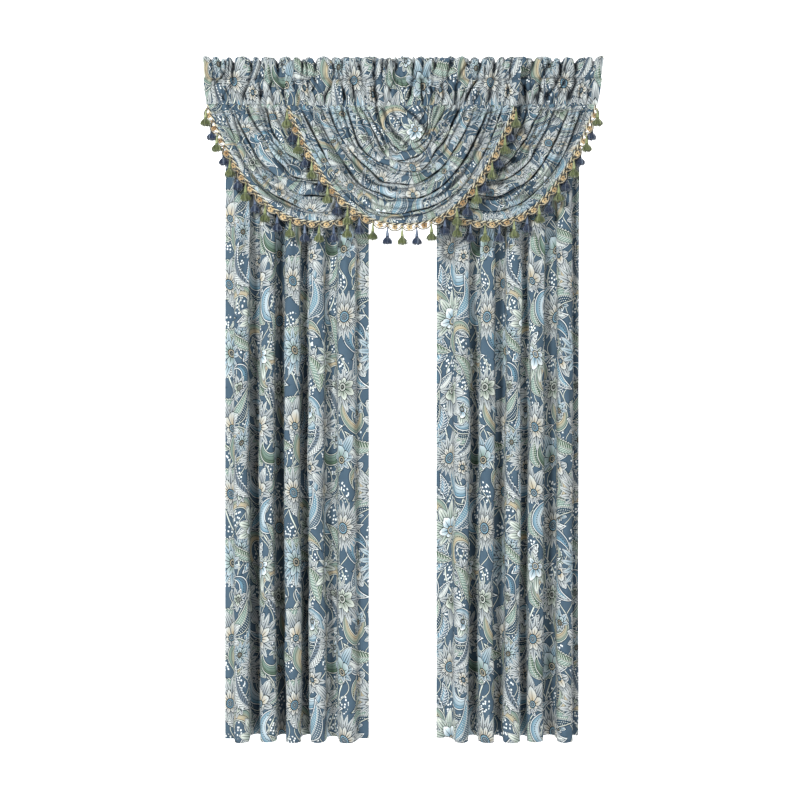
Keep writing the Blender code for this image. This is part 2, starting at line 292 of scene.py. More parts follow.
def make_object(name, points, faces, materials, slots=None, soft=None, maps=()):
    """A mesh object. slots and soft give each face's material and whether it is shaded smoothly."""
    mesh = bpy.data.meshes.new(name)
    mesh.from_pydata(np.asarray(points).tolist(), [], faces)
    mesh.polygons.foreach_set("use_smooth", np.ones(len(faces), bool) if soft is None else soft)
    if slots is not None:
        mesh.polygons.foreach_set("material_index", np.asarray(slots, np.int32))
    corners = np.empty(len(mesh.loops), np.int32)
    mesh.loops.foreach_get("vertex_index", corners)
    for map_name, places in maps:
        layer = mesh.uv_layers.new(name=map_name)
        layer.data.foreach_set("uv", places.astype(np.float32)[corners].ravel())
    for finish in materials:
        mesh.materials.append(finish)
    return show(name, mesh)


def make_sheet(name, middle, cloth_map, stitch_map, crease_shade, materials):
    """A sheet of cloth around a grid of points: a printed front, a paler back, and a thin edge. The crease
    shade is painted shade, from 0 on open cloth to 1 at the bottom of a crease."""
    rows, columns = middle.shape[:2]
    offset = normals_of(middle) * CLOTH_THICKNESS / 2
    points = np.concatenate([(middle + offset).reshape(-1, 3), (middle - offset).reshape(-1, 3)])
    count = rows * columns
    front = grid_faces(rows, columns)
    back = grid_faces(rows, columns, count)[:, ::-1]
    number = np.arange(count).reshape(rows, columns)
    rim = np.concatenate([number[0, :], number[1:, -1], number[-1, -2::-1], number[-2:0:-1, 0]])
    following = np.roll(rim, -1)
    edge = np.stack([rim, following, following + count, rim + count], axis=1)
    sizes = [len(front), len(back), len(edge)]
    # The creases map carries this painted shade of creases and recesses to the material
    crease_shade_map = side_by_side(np.clip(crease_shade, 0, 1), 0.0)
    maps = [
        (map_name, np.tile(places.reshape(-1, 2), (2, 1)))
        for map_name, places in (("cloth", cloth_map), ("stitches", stitch_map), ("creases", crease_shade_map))
    ]
    faces = np.concatenate([front, back, edge]).tolist()
    soft = np.repeat([True, True, False], sizes)
    return make_object(name, points, faces, materials, np.repeat([0, 1, 0], sizes), soft, maps)


def place(piece, nodes):
    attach(piece, "root")
    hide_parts(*nodes)
    return piece


# Long curtains

CURTAIN_COLUMNS = 216
CURTAIN_ROWS = 110
GATHERS_TO = 0.36
SIDE_HEM = 0.024
FOOT_HEM = 0.048
CURTAIN_SWELLS = ((0.0011, 0.045, 0.33), (0.0005, 0.022, 0.10))


def fold_section(folds):
    """The curtain's section at its hem, as x and back at even steps along the cloth."""
    points = [(0.0, folds[0].back)]
    for centre, half_width, back in folds:
        points.append((centre - half_width, back * FOLD_SHOULDER))
        points.append((centre, back))
        points.append((centre + half_width, back * FOLD_SHOULDER))
    points.append((CURTAIN_WIDTH, folds[-1].back))
    points = np.array(points)
    chord = running_total(np.linalg.norm(np.diff(points, axis=0), axis=1))
    fine = np.linspace(0.0, chord[-1], 4000)
    x = smooth(chord, points[:, 0], fine)
    back = smooth(chord, points[:, 1], fine)
    length = running_total(np.hypot(np.diff(x), np.diff(back)))
    share = np.linspace(0.0, 1.0, CURTAIN_COLUMNS)
    return np.interp(share, length / length[-1], x), np.interp(share, length / length[-1], back)


def gathers(share, seed, pitch):
    """Uneven small waves from -1 to 1 along a gathered seam. pitch is a wave's share of the seam."""
    bend = 0.30 * np.sin(TURN * share * 3.1 + seed) + 0.22 * np.sin(TURN * share * 7.3 + 2 * seed)
    return np.sin(TURN * (share / pitch + bend))


def curtain_across(share, down, fold_x, seed):
    """Where the cloth hangs from left to right: drawn into its long folds, which wander a little."""
    formed = ease(down / GATHERS_TO)
    flat_x = share * CURTAIN_WIDTH
    x = flat_x + (fold_x - flat_x) * formed
    inside = np.sin(math.pi * x / CURTAIN_WIDTH)
    x = x + 0.004 * np.sin(2.3 * down + seed) * ease(down / 0.3) * inside
    return x + 0.0022 * ripples(share, down, seed + 1, 0.22, 0.9) * formed * inside


def curtain_back(share, down, fold_back, seed):
    """How far back the cloth hangs: its long folds, and the seam's gathers that run out into them."""
    uneven_depth = 1 + 0.07 * ripples(share, down, seed + 2, 0.25, 0.8) * ease(down / GATHERS_TO)
    back = fold_back * smooth(LEVELS_DOWN, LEVELS_DEPTH, down) * uneven_depth
    back = back + 0.0075 * gathers(share, seed, 0.041) * (1 - ease(down / 0.34))
    wider = 0.0060 * gathers(share, seed + 5, 0.083)
    return back + wider * ease(down / 0.10) * (1 - ease((down - 0.30) / 0.6))


def make_curtain(name, edge, folds, seed, painted_shade, cloth):
    """The long cloth under its heading. Fine gathers at the seam run together into the long folds."""
    fall = CURTAIN_LENGTH - HEADING_HEIGHT - PIECE_GAP
    even = np.linspace(0.0, 1.0, CURTAIN_ROWS)[:, None]
    down = (even * 0.8 + 0.2 * even**2) * fall
    share = np.linspace(0.0, 1.0, CURTAIN_COLUMNS)[None, :]
    fold_x, fold_back = fold_section(folds)
    x = edge + curtain_across(share, down, fold_x, seed)
    grid = side_by_side(x, curtain_back(share, down, fold_back, seed), -HEADING_HEIGHT - PIECE_GAP - down)
    from_side = np.minimum(share, 1 - share) * CURTAIN_FLAT_WIDTH
    held = ease(from_side / 0.03) * ease(down / 0.02)
    grid = swollen(grid, (share, down), seed + 3, held, CURTAIN_SWELLS)
    cloth_map = side_by_side(share * CURTAIN_FLAT_WIDTH + 0.9 * seed, fall - down)
    stitch_map = side_by_side(from_side - SIDE_HEM, fall - down - FOOT_HEM)
    # Painted shade: the colour darkens where the cloth lies further back, in the folds' recesses
    crease_shade = painted_shade * ease(grid[:, :, 1] / 0.040)
    made = make_sheet(f"{name}_cloth", grid, cloth_map, stitch_map, crease_shade, cloth)
    place(made, [name])


# Headings

HEADING_SIDE_ROWS = 40
HEADING_BACK_ROWS = 10
# How much of its creases a heading keeps at its lower seam
SEAM_CREASES = 0.42
# The crease depth at which a heading's painted shade is full, and how much of that painted shade is left at
# the seam
FULL_SHADE_DEPTH = 0.0125
SEAM_SHADE = 0.5
# Half the distance between the two cloths at the seam
SEAM_HALF = 0.0017
POCKET_DOWN = [0.0, 0.030, 0.056, 0.062, 0.070, 0.085, 0.105, 0.127, 0.142]
POCKET_OUT = [0.0017, 0.0019, 0.0019, 0.0032, 0.0120, 0.0160, 0.0125, 0.0062, 0.0020]
# How far forward the ruffle leans, the whole heading stands, and the pocket's front bulges
RUFFLE_LEAN = 0.0045
HEADING_FORWARD = 0.002
POCKET_FORWARD = 0.0065
HEADING_SIDE_HEM = 0.018


def crease_field(x, down, creases):
    """How far the creases push the cloth back. x is in millimetres from the left end."""
    total = 0.0
    for crease in creases:
        middle = smooth([0.0, RUFFLE_HEIGHT, HEADING_HEIGHT], crease[:3], down)
        middle = middle + 2.0 * np.sin(TURN * down / 0.052 + crease.top) * ease(down / 0.04)
        depth = np.interp(
            down,
            [0.0, RUFFLE_HEIGHT - 0.01, RUFFLE_HEIGHT + 0.012, 0.120, HEADING_HEIGHT],
            [crease.top_depth * 1.35, crease.stitch_depth * 0.9, crease.stitch_depth * 0.9,
             crease.pocket_depth * 1.5, crease.pocket_depth * 1.1],
        )
        away = np.abs(x - middle) / crease.half_width
        total = total + depth * MM * (0.95 * np.exp(-(away**2.6)) + 0.55 * np.exp(-away * away / 9))
    return total


def small_creases(x, down, seed, count, top, bottom, most_lean):
    """Short slanting creases in the gathered cloth, between top and bottom."""
    uneven = random.Random(seed)
    total = 0.0
    for _ in range(count):
        middle_x = uneven.uniform(8, CREASED_WIDTH - 9)
        middle_down = uneven.uniform(top, bottom)
        lean = uneven.uniform(-most_lean, most_lean)
        length = uneven.uniform(0.009, 0.024)
        width = uneven.uniform(1.8, 3.6)
        depth = uneven.uniform(3.0, 8.0) * MM
        off = np.abs(x - middle_x - lean * (down - middle_down) / MM) / width
        far = (down - middle_down) / length
        total = total + depth * np.exp(-(off**1.6) - far * far)
    return total


def heading_creases(width, seed):
    """The heading's creases for this width, each a little off the table."""
    uneven = random.Random(seed)
    scale = width / MM / CREASED_WIDTH
    return [
        Crease(*[(value + uneven.uniform(-2, 2)) * scale for value in crease[:3]], *crease[3:])
        for crease in HEADING_CREASES
    ]


def seam_gathers(share, seed):
    """The fine waves of a heading's lower seam, which the cloth under it shares."""
    return 0.0030 * gathers(share, seed, 0.024)


def heading_columns(creases, width, count):
    """Shares of the width, closer together where the creases are steep."""
    x = np.linspace(0.0, width / MM, 3000)
    push = crease_field(x, np.full_like(x, 0.05), creases) / MM
    length = running_total(np.hypot(np.diff(x), 0.8 * np.diff(push)))
    return np.interp(np.linspace(0, length[-1], count), length, x / x[-1])


class Heading(NamedTuple):
    """A heading's sizes. gathered is its fine gathers' depth in millimetres; the last field is the strength
    of the painted shade in its creases.
    """

    name: str
    rod: float
    top: float
    width: float
    flat_width: float
    seed: int
    columns: int
    gathered: float
    painted_shade: float


def heading_levels():
    """How far down each row lies, and whether it is on the front."""
    down_back = np.linspace(HEADING_HEIGHT, 0.0, HEADING_BACK_ROWS)[:-1]
    down_front = np.linspace(0.0, HEADING_HEIGHT, HEADING_SIDE_ROWS)
    front = np.repeat([False, True], [len(down_back), len(down_front)])
    return np.concatenate([down_back, down_front])[:, None], front[:, None]


def heading_push(heading, share, x, down, creases, standing):
    """How far the creases push each point back, and the painted shade in them."""
    seed = heading.seed
    count = round(0.15 * heading.width / MM)
    push = crease_field(x, down, creases)
    short = small_creases(x, down, seed + 7, count, 0.052, 0.142, 0.9)
    short = short + small_creases(x, down, seed + 6, count // 3, 0.004, 0.050, 0.25)
    # Painted shade in the creases, which grows with their depth
    deep = np.maximum((0.75 * push + 1.5 * short) / FULL_SHADE_DEPTH, 0) ** 1.6
    push = push + short
    push = push + 0.0011 * ripples(x, down / MM, seed + 8, 26, 40, 7)
    fine = heading.gathered * MM * gathers(share, seed + 9, 0.0185 / heading.width)
    return push + fine * (0.85 + 0.15 * standing), heading.painted_shade * deep


def heading_back(push, down, front, standing):
    """How far behind the rod each point lies. The ruffle's two cloths stand together over the open pocket."""
    out = smooth(POCKET_DOWN, POCKET_OUT, down)
    in_pocket = ease((down - 0.058) / 0.015) * (1 - ease((down - 0.118) / 0.024))
    forward = RUFFLE_LEAN * standing + POCKET_FORWARD * in_pocket + HEADING_FORWARD
    lean = RUFFLE_LEAN * standing + HEADING_FORWARD
    slack = 1 - 0.8 * in_pocket
    behind = out - lean * (1 - in_pocket) + push * slack * 0.9 + 0.0016 * (1 - in_pocket)
    return np.where(front, -out - forward + push, behind)


def make_heading(heading, place_x, cloth):
    """A standing ruffle over a rod pocket, one strip of cloth that goes up the back and down the front."""
    seed, width = heading.seed, heading.width
    creases = heading_creases(width, seed)
    share = heading_columns(creases, width, heading.columns)[None, :]
    x = share * width / MM
    down, front = heading_levels()
    standing = 1 - ease((down - 0.030) / 0.030)
    near_seam = ease((down - 0.112) / 0.030)
    push, deep = heading_push(heading, share, x, down, creases, standing)
    # Painted shade on the front's creases, weaker near the seam
    crease_shade = np.where(front, deep * (1 - (1 - SEAM_SHADE) * near_seam), 0.0)
    back = heading_back(push, down, front, standing)
    at_seam = crease_field(x, np.full_like(x, HEADING_HEIGHT), creases)
    seam = seam_gathers(share, seed) + SEAM_CREASES * at_seam
    back = back * (1 - near_seam) + near_seam * (seam + np.where(front, -SEAM_HALF, SEAM_HALF))
    rise = 0.0042 - 0.55 * crease_field(x, 0 * x, creases)
    rise = rise + 0.0012 * ripples(share, 0 * share, seed + 3, 0.06, 1.0)
    drooping = 0.0022 + 0.0018 * ripples(x, 0 * x, seed + 4, 30, 1.0, 5)
    z = heading.top - down + rise * (1 - ease(down / 0.05)) - drooping * near_seam
    grid = side_by_side(place_x(share, down / HEADING_HEIGHT), heading.rod + back, z)
    cloth_up = 0.3 - np.where(front, down, -down)
    cloth_map = side_by_side(share * heading.flat_width + 0.37 * seed, cloth_up)
    from_side = np.minimum(share, 1 - share) * heading.flat_width
    stitch_map = side_by_side(from_side - HEADING_SIDE_HEM, down - RUFFLE_HEIGHT)
    made = make_sheet(f"{heading.name}_cloth", grid, cloth_map, stitch_map, crease_shade, cloth)
    place(made, [heading.name])


# Swags

SWAG_COLUMNS = 113
ROWS_A_ROLL = (28, 28, 20, 20, 20, 20, 20, 20)
ROLLS = len(ROWS_A_ROLL)
TUCKED = 0.016
SWAG_SWELLS = ((0.0009, 0.07, 0.05), (0.0004, 0.025, 0.020))
GROOVE = 0.012
# The depths at which the painted shade of the lesser and the slanting creases is full
FULL_SHADE_LESSER = 0.0046
FULL_SHADE_SLANTING = 0.0062
# How high the last roll is for its stitches, and how far they run above the hem
STITCHED_ROLL = 0.03
SWAG_HEM = 0.02
# Lesser creases in each roll: how far down it, half width, depth, and how far out they start
MINOR_CREASES = (
    (0.30, 0.070, 0.0064, -0.30), (0.56, 0.065, 0.0058, 0.10), (0.12, 0.055, 0.0038, 0.30),
    (0.43, 0.055, 0.0046, -0.30), (0.69, 0.055, 0.0044, -0.30),
)
# Points on each crease as x and height under the seam, its half width and its depth
SLANTING_CREASES = (
    (((0.006, -0.012), (0.031, -0.028), (0.060, -0.060), (0.078, -0.092)), 0.0058, 0.0075),
    (((-0.062, -0.012), (-0.047, -0.056), (-0.020, -0.094), (0.008, -0.116)), 0.0056, 0.0070),
    (((-0.034, -0.010), (-0.025, -0.036), (-0.006, -0.060)), 0.0050, 0.0050),
    (((0.050, -0.010), (0.059, -0.030), (0.067, -0.052)), 0.0048, 0.0050),
)
# How sharp each crease is in the left and the right arm, from the seam's first line to the hem
LEFT_CREASES = [0, 0.2, 1.0, 0.8, 1.1, 1.1, 0.7, 1.0, 0]
RIGHT_CREASES = [0, 0.2, 0.9, 1.0, 1.2, 0.8, 1.1, 1.0, 0]


def squeeze(x, end, squeezed_end):
    """Draws x towards 0, hardly at all near 0, so that end comes to squeezed_end."""
    share = x / end
    tightness = end / squeezed_end - 1
    return x / (1 + tightness * share * share)


def heading_x(valance, share, down):
    half = VALANCE_WIDTH / 2
    left = -half + HEADING_TAPER_LEFT * down
    right = half - HEADING_TAPER_RIGHT * down
    x = left + (right - left) * share
    if valance.squeezed:
        drawn = squeeze(x, half, SIDE_VALANCE_EDGE - half - INNER_END_GAP)
        x = np.where(x * valance.squeezed > 0, drawn, x)
    return valance.centre + x


def swag_x(valance, x):
    if valance.squeezed:
        x = np.where(x * valance.squeezed > 0, squeeze(x, HEM.spread, INNER_END_OF_SWAG), x)
    return valance.centre + x


def off_the_seam(across):
    """How much of a fold's depth is left at across: none at the seam, all of it at the middle of the swag."""
    down = 1 - np.abs(across) ** SWAG_CURVE
    return ease(DEPTH_RISE * down) * (DEPTH_AT_SEAM + (1 - DEPTH_AT_SEAM) * down)


def roll_shape(share):
    """A roll's section from 0 to 1: it swells slowly, and tucks sharply under at its foot."""
    peak = math.log(0.5) / math.log(ROLL_PEAK)
    return np.sin(math.pi * np.clip(share, 0, 1) ** peak) ** 0.6


def slanting_creases(x, height):
    """The few creases that cross the others, in the flatter cloth between a swag's arms."""
    total = 0.0
    for points, half_width, deep in SLANTING_CREASES:
        nearest = np.full(np.broadcast(x, height).shape, 1.0)
        for (x0, z0), (x1, z1) in zip(points, points[1:]):
            run, fall = x1 - x0, z1 - z0
            share = np.clip(((x - x0) * run + (height - z0) * fall) / (run * run + fall * fall), 0, 1)
            nearest = np.minimum(nearest, np.hypot(x - x0 - share * run, height - z0 - share * fall))
        total = total + deep * np.exp(-((nearest / half_width) ** 1.6))
    return total


class Net(NamedTuple):
    """A swag's grid. line counts the creases from the seam down, roll is the whole number in it, share is the
    rest, and last marks the last roll. across runs from -1 to 1, down from 0 at the seam to 1 at the middle,
    and free is how much of a fold's depth is left."""

    line: np.ndarray
    roll: np.ndarray
    share: np.ndarray
    last: np.ndarray
    across: np.ndarray
    down: np.ndarray
    free: np.ndarray

    def uneven(self, seed, *pitches_and_count):
        return ripples(self.across, self.line, seed, *pitches_and_count)


def swag_net():
    """The grid's rows lie closer together at each crease, and its columns at both ends."""
    rolls = [np.linspace(0.0, 1.0, rows, endpoint=False) for rows in ROWS_A_ROLL]
    closer = [number + even - 0.09 * np.sin(TURN * even) for number, even in enumerate(rolls)]
    line = np.concatenate([*closer, [ROLLS]])[:, None]
    step = np.linspace(-1.0, 1.0, SWAG_COLUMNS)
    across = (np.sign(step) * (1 - (1 - np.abs(step)) ** 1.25))[None, :]
    roll = np.clip(np.floor(line), 0, ROLLS - 1).astype(int)
    down = 1 - np.abs(across) ** SWAG_CURVE
    return Net(line, roll, line - roll, line > ROLLS - 1, across, down, off_the_seam(across))


def hang(across, spread, drop):
    """x and height under the seam of points on a swag's U-shaped line."""
    reach = np.where(across > 0, spread * SWAG_RIGHT_SHARE, spread)
    return across * reach, -drop * (1 - np.abs(across) ** SWAG_CURVE)


def swag_places(net, seed, strength):
    """x and height of a swag's points. The creases wander, and each roll hangs over the crease under it."""
    wander = ease(net.line / 1.2) * ease((ROLLS - net.line) / 1.2)
    moved = net.line + 0.13 * net.uneven(seed, 0.9, 3.0, 5) * wander
    moved = moved + 0.05 * net.uneven(seed + 1, 0.35, 1.6, 5) * wander
    knots = np.arange(ROLLS + 1)
    tuck = 0.0085 * np.exp(-(((net.share - 0.86) / 0.09) ** 2)) * net.free * (net.roll > 0) * (~net.last)
    spread = smooth(knots, [pleat.spread for pleat in SWAG_LINES], moved) + 0.6 * tuck * strength
    drop = smooth(knots, [pleat.drop for pleat in SWAG_LINES], moved) + tuck * strength
    return hang(net.across, spread, drop)


def swag_rolls(net, strength):
    """How far back the rolls lie."""
    fold = np.array([pleat.roll for pleat in SWAG_LINES])[net.roll] * roll_shape(net.share) * strength
    swell = SWAG_SWELL * np.clip(net.line - 2, 0, None) / (ROLLS - 2)
    back = CREASE_BACK * ease(net.line / 2) * (1 - np.where(net.last, net.share, 0)) - fold - swell
    return np.where(net.last, back - (HEM_FORWARD - SWAG_SWELL) * net.share, back)


def main_creases(net, seed):
    """The sharp grooves between the rolls, the painted shade in them, and the painted shadow under each roll.
    """
    near = np.clip(np.round(net.line), 0, ROLLS).astype(int)
    to_right = ease(0.5 + net.across * 1.6)
    sharp = np.array(LEFT_CREASES)[near] * (1 - to_right) + np.array(RIGHT_CREASES)[near] * to_right
    sharp = sharp * (1 + 0.25 * net.uneven(seed + 6, 0.8, 2.0, 4)) * ease((1 - np.abs(net.across)) / 0.05)
    groove = GROOVE * sharp * np.exp(-(((net.line - near) / 0.070) ** 2))
    # Painted shade along each groove, and a painted shadow under each roll that fades down it
    shadow = 0.10 + 0.05 * net.uneven(seed + 9, 1.0, 2.0, 4)
    dark = 1.15 * sharp * np.exp(-(((net.line - near) / 0.095) ** 2))
    return groove, dark + 0.50 * np.exp(-net.share / shadow) * (net.roll > 1) * net.free


def add_minor_creases(net, seed, ends, back, crease_shade):
    """Lays the lesser creases of the arms into back, and the painted shade in them into the crease shade."""
    for number, (at, half, deep, starts) in enumerate(MINOR_CREASES):
        shift = 0.10 * net.uneven(seed + 20 + number, 1.4, 2.5, 4)
        away = np.abs(net.share - at - shift) / half
        amount = deep * (0.55 + 0.65 * net.uneven(seed + 30 + number, 1.6, 2.0, 4))
        there = ease((np.abs(net.across) - starts) / 0.25) * ends * ease(net.line - 0.8)
        lesser = np.clip(amount, 0, None) * np.exp(-(away**1.6)) * there
        back = back + lesser
        crease_shade = crease_shade + lesser / FULL_SHADE_LESSER
    return back, crease_shade


def seam_run_in(net, seed, x):
    """The heading's gathers and creases where they run into the swag, and the painted shade in those creases.
    """
    share = (x + VALANCE_WIDTH / 2) / VALANCE_WIDTH
    seam_x = share * VALANCE_WIDTH / MM
    creases = crease_field(seam_x, np.full_like(seam_x, HEADING_HEIGHT), heading_creases(VALANCE_WIDTH, seed))
    left = 1 - ease(2.6 * net.down)
    # Painted shade in the heading's creases, carried a little way into the swag
    dark = SEAM_SHADE * (0.75 * np.maximum(creases, 0) / FULL_SHADE_DEPTH) ** 1.6
    return (seam_gathers(share, seed) + SEAM_CREASES * creases) * left, dark * left


def swag_cloth_map(net, x, depth, height, seed):
    """The print hangs nearly upright, and each crease hides a strip of it."""
    flat = down_grid(side_by_side(x, 0.0, height))
    hidden = down_grid(side_by_side(x, depth, height)) - flat + TUCKED * net.line * net.free
    outward = np.abs(net.across) ** 1.3 * 0.75
    u = x * 1.12 + np.sign(net.across) * hidden * outward
    v = height - hidden * np.sqrt(1 - outward**2)
    return side_by_side(u + 0.41 * seed, v + 0.23 * seed)


def make_swag(valance, cloth):
    """A swag's cloth from its first short crease to its hem."""
    seed = valance.seed
    net = swag_net()
    strength = 1 + 0.16 * net.uneven(seed + 2, 1.1, 2.2, 5)
    ends = ease((1.0 - np.abs(net.across)) / 0.05 + 0.25)
    groove, crease_shade = main_creases(net, seed)
    back, crease_shade = add_minor_creases(net, seed, ends, swag_rolls(net, strength), crease_shade)
    x, height = swag_places(net, seed, strength)
    gathered, seam_crease_shade = seam_run_in(net, seed, x)
    arms = ease((np.abs(net.across) - 0.30) / 0.25) * ends
    fine = 0.0010 * gathers(net.line / 8, seed + 2, 0.052) * arms
    slanting = slanting_creases(x, height)
    # Painted shade: all the crease shade summed, a little weaker on the side swags
    crease_shade = crease_shade + slanting / FULL_SHADE_SLANTING + seam_crease_shade
    crease_shade = np.clip(crease_shade, 0, 1) * (0.80 if valance.squeezed else 0.90)
    depth = back * net.free + groove + slanting + (gathered + fine) * ease((ROLLS - net.line) / 0.5)
    seam = valance.top - HEADING_HEIGHT - PIECE_GAP
    grid = side_by_side(swag_x(valance, x), valance.rod + depth, seam + height)
    held = ease(net.down / 0.15) * ease((ROLLS - net.line) / 0.4)
    grid = swollen(grid, (x, height), seed + 4, held, SWAG_SWELLS)
    stitch_map = side_by_side(1.0, (ROLLS - net.line) * STITCHED_ROLL - SWAG_HEM + 0 * x)
    cloth_map = swag_cloth_map(net, x, depth, height, seed)
    made = make_sheet(f"{valance.name}_cloth", grid, cloth_map, stitch_map, crease_shade, cloth)
    return place(made, [valance.name])


# Trim and tassels

CORD_RADIUS = 0.0021
CORD_PITCH = 0.022
CORD_STEP = 0.0025
# How far the cord stays from the hem's ends, and how far it lies past the hem's edge and in front of it
CORD_END = 0.003
CORD_OUT = 0.0022
CORD_FORWARD = 0.0034
# How far the cord's strands lie from its middle
STRAND_OFF = 0.0015
# Each loop of a scallop: its yarn, its depth, its share of the width and its radius
LOOPS = ((1, 0.0192, 1.0, 0.0015), (0, 0.0164, 0.90, 0.0011), (1, 0.0125, 0.80, 0.0011))
LOOP_OUT = 0.0040
CROSS_THREADS = 9
THREAD_RADIUS = 0.0007
# The rosettes between the tassels
ROSETTE_RADIUS = 0.0085
ROSETTE_OUT = 0.0108
ROSETTE_FORWARD = 0.0012
ROSETTE_BULGE = 0.0034
ROSETTE_PETALS = 5
FACES_A_PETAL = 5
ROSETTE_RINGS = 6
# The turned parts of a tassel: heights and radii, and how far the lower ones hang under its root
KNOT = ((0.0026, 0.0014, -0.0012, -0.0026), (0.0009, 0.0025, 0.0025, 0.0009))
TIE = ((0.0014, 0.0007, -0.0007, -0.0014), (0.0050, 0.0061, 0.0061, 0.0050))
TIE_DROP = 0.0312
FILLING = ((0.0, -0.005, -0.012, -0.020), (0.0045, 0.0092, 0.0122, 0.0126))
FILLING_DROP = 0.0318
# A tassel's neck: its radii at shares of its length
NECK_TOP = -0.0035
NECK_LENGTH = 0.0275
NECK_SHARES = [0.0, 0.45, 0.88, 1.0]
NECK_RADII = [0.0014, 0.0037, 0.0057, 0.0050]
# The threads, spread and length of each ring of a tassel's skirt
SKIRT_RINGS = ((24, 0.0162, 0.0225), (16, 0.0118, 0.0255), (8, 0.0062, 0.0268))
SKIRT_TOP = 0.0030
SKIRT_THREAD_RADII = np.array([0.0007, 0.00105, 0.0012, 0.0012, 0.00115, 0.0009])


def hem_line(valance):
    """Points along a valance's hem, and their distance along it before a half of it is squeezed."""
    across = np.linspace(-1.0, 1.0, 1601)
    x, height = hang(across, HEM.spread, HEM.drop)
    length = running_total(np.hypot(np.diff(x), np.diff(height)))
    seam = valance.top - HEADING_HEIGHT - PIECE_GAP
    back = valance.rod - HEM_FORWARD * off_the_seam(across)
    return side_by_side(swag_x(valance, x), back, seam + height), length


class Hem:
    """The hem as a road: points on it and beside it, by the distance along it."""

    def __init__(self, valance):
        self.points, self.length = hem_line(valance)
        run = np.gradient(self.points[:, [0, 2]], axis=0)
        self.run = run / np.linalg.norm(run, axis=1, keepdims=True)

    def at(self, distance, outward=0.0, forward=0.0):
        """Points at distances along the hem, outward past its edge and forward to the room."""
        distance = np.asarray(distance, float)
        x, y, z = (np.interp(distance, self.length, self.points[:, axis]) for axis in range(3))
        run, rise = (np.interp(distance, self.length, self.run[:, axis]) for axis in range(2))
        return side_by_side(x + rise * outward, y - forward, z - run * outward)


def ring_faces(rings, sides):
    """The faces between rings of points that follow each other."""
    corner = np.arange((rings - 1) * sides).reshape(-1, sides)
    turned = np.roll(corner, -1, axis=1)
    return np.stack([corner, turned, turned + sides, corner + sides], axis=-1).reshape(-1, 4)


# The order of a face's corners that turns it over
OVER = [0, 3, 2, 1]


def circle(sides):
    """The angles of a ring's points."""
    return np.arange(sides) * TURN / sides


class Skin:
    """Points and faces of many small parts, with a material and a yarn's place for each."""

    def __init__(self):
        self.points = []
        self.faces = []
        self.slots = []
        self.map = []
        self.count = 0

    def add(self, points, faces, slot, tone, along=0.0):
        """tone is the yarn's shade, and along is each point's distance along it. slot may differ by face."""
        self.points.append(points)
        self.faces.append(faces + self.count)
        self.slots.append(np.broadcast_to(slot, len(faces)))
        self.map.append(side_by_side(tone, along, np.zeros(len(points)))[:, :2])
        self.count += len(points)

    def cap(self, ring, slot, tone):
        """Closes a ring with a fan. A face with its last corner twice has three."""
        first = range(1, len(ring) - 1)
        self.add(ring, np.array([[0, number, number + 1, number + 1] for number in first]), slot, tone)

    def tube(self, path, radius, sides, slot, tone):
        """A yarn along a path, closed at both ends. radius is one number or one for each point."""
        path = np.asarray(path, float)
        radius = np.broadcast_to(radius, len(path))
        ahead = np.gradient(path, axis=0)
        ahead /= np.maximum(np.linalg.norm(ahead, axis=1, keepdims=True), 1e-9)
        side = np.cross(ahead, [0.0, 1.0, 0.0])
        weak = np.linalg.norm(side, axis=1) < 0.2
        side[weak] = np.cross(ahead[weak], [1.0, 0.0, 0.0])
        side /= np.linalg.norm(side, axis=1, keepdims=True)
        up = np.cross(ahead, side)
        angle = circle(sides)[None, :, None]
        ring = np.cos(angle) * side[:, None, :] + np.sin(angle) * up[:, None, :]
        points = (path[:, None, :] + ring * radius[:, None, None]).reshape(-1, 3)
        length = running_total(np.linalg.norm(np.diff(path, axis=0), axis=1))
        self.add(points, ring_faces(len(path), sides), slot, tone, np.repeat(length, sides))
        self.cap(points[:sides][::-1], slot, tone)
        self.cap(points[-sides:], slot, tone)

    def lathe(self, centre, heights, radii, sides, slot, tone):
        """A turned upright body, closed at both ends."""
        angle = circle(sides)
        ring = side_by_side(np.cos(angle), np.sin(angle), 0.0)
        points = centre + ring[None] * np.asarray(radii)[:, None, None]
        points = points + np.array([0, 0, 1.0]) * np.asarray(heights)[:, None, None]
        points = points.reshape(-1, 3)
        along = np.repeat(-np.asarray(heights), sides)
        self.add(points, ring_faces(len(heights), sides)[:, OVER], slot, tone, along)
        self.cap(points[:sides], slot, tone)
        self.cap(points[-sides:][::-1], slot, tone)

    def make(self, name, materials):
        points, slots, yarn = (np.concatenate(rows) for rows in (self.points, self.slots, self.map))
        faces = [list(dict.fromkeys(face)) for face in np.concatenate(self.faces).tolist()]
        return make_object(name, points, faces, materials, slots, maps=[("yarn", yarn)])


def add_cord(skin, hem):
    """Two strands, one pale and one dark, twisted round each other along the hem's edge."""
    distance = np.arange(CORD_END, hem.length[-1] - CORD_END, CORD_STEP)
    angle = distance * TURN / CORD_PITCH
    for slot, turn, radius, tone in ((0, 0.0, CORD_RADIUS, 0.13), (1, math.pi, 0.95 * CORD_RADIUS, 0.06)):
        outward = CORD_OUT + STRAND_OFF * np.cos(angle + turn)
        forward = CORD_FORWARD + STRAND_OFF * np.sin(angle + turn)
        skin.tube(hem.at(distance, outward, forward), radius, 5, slot, tone)


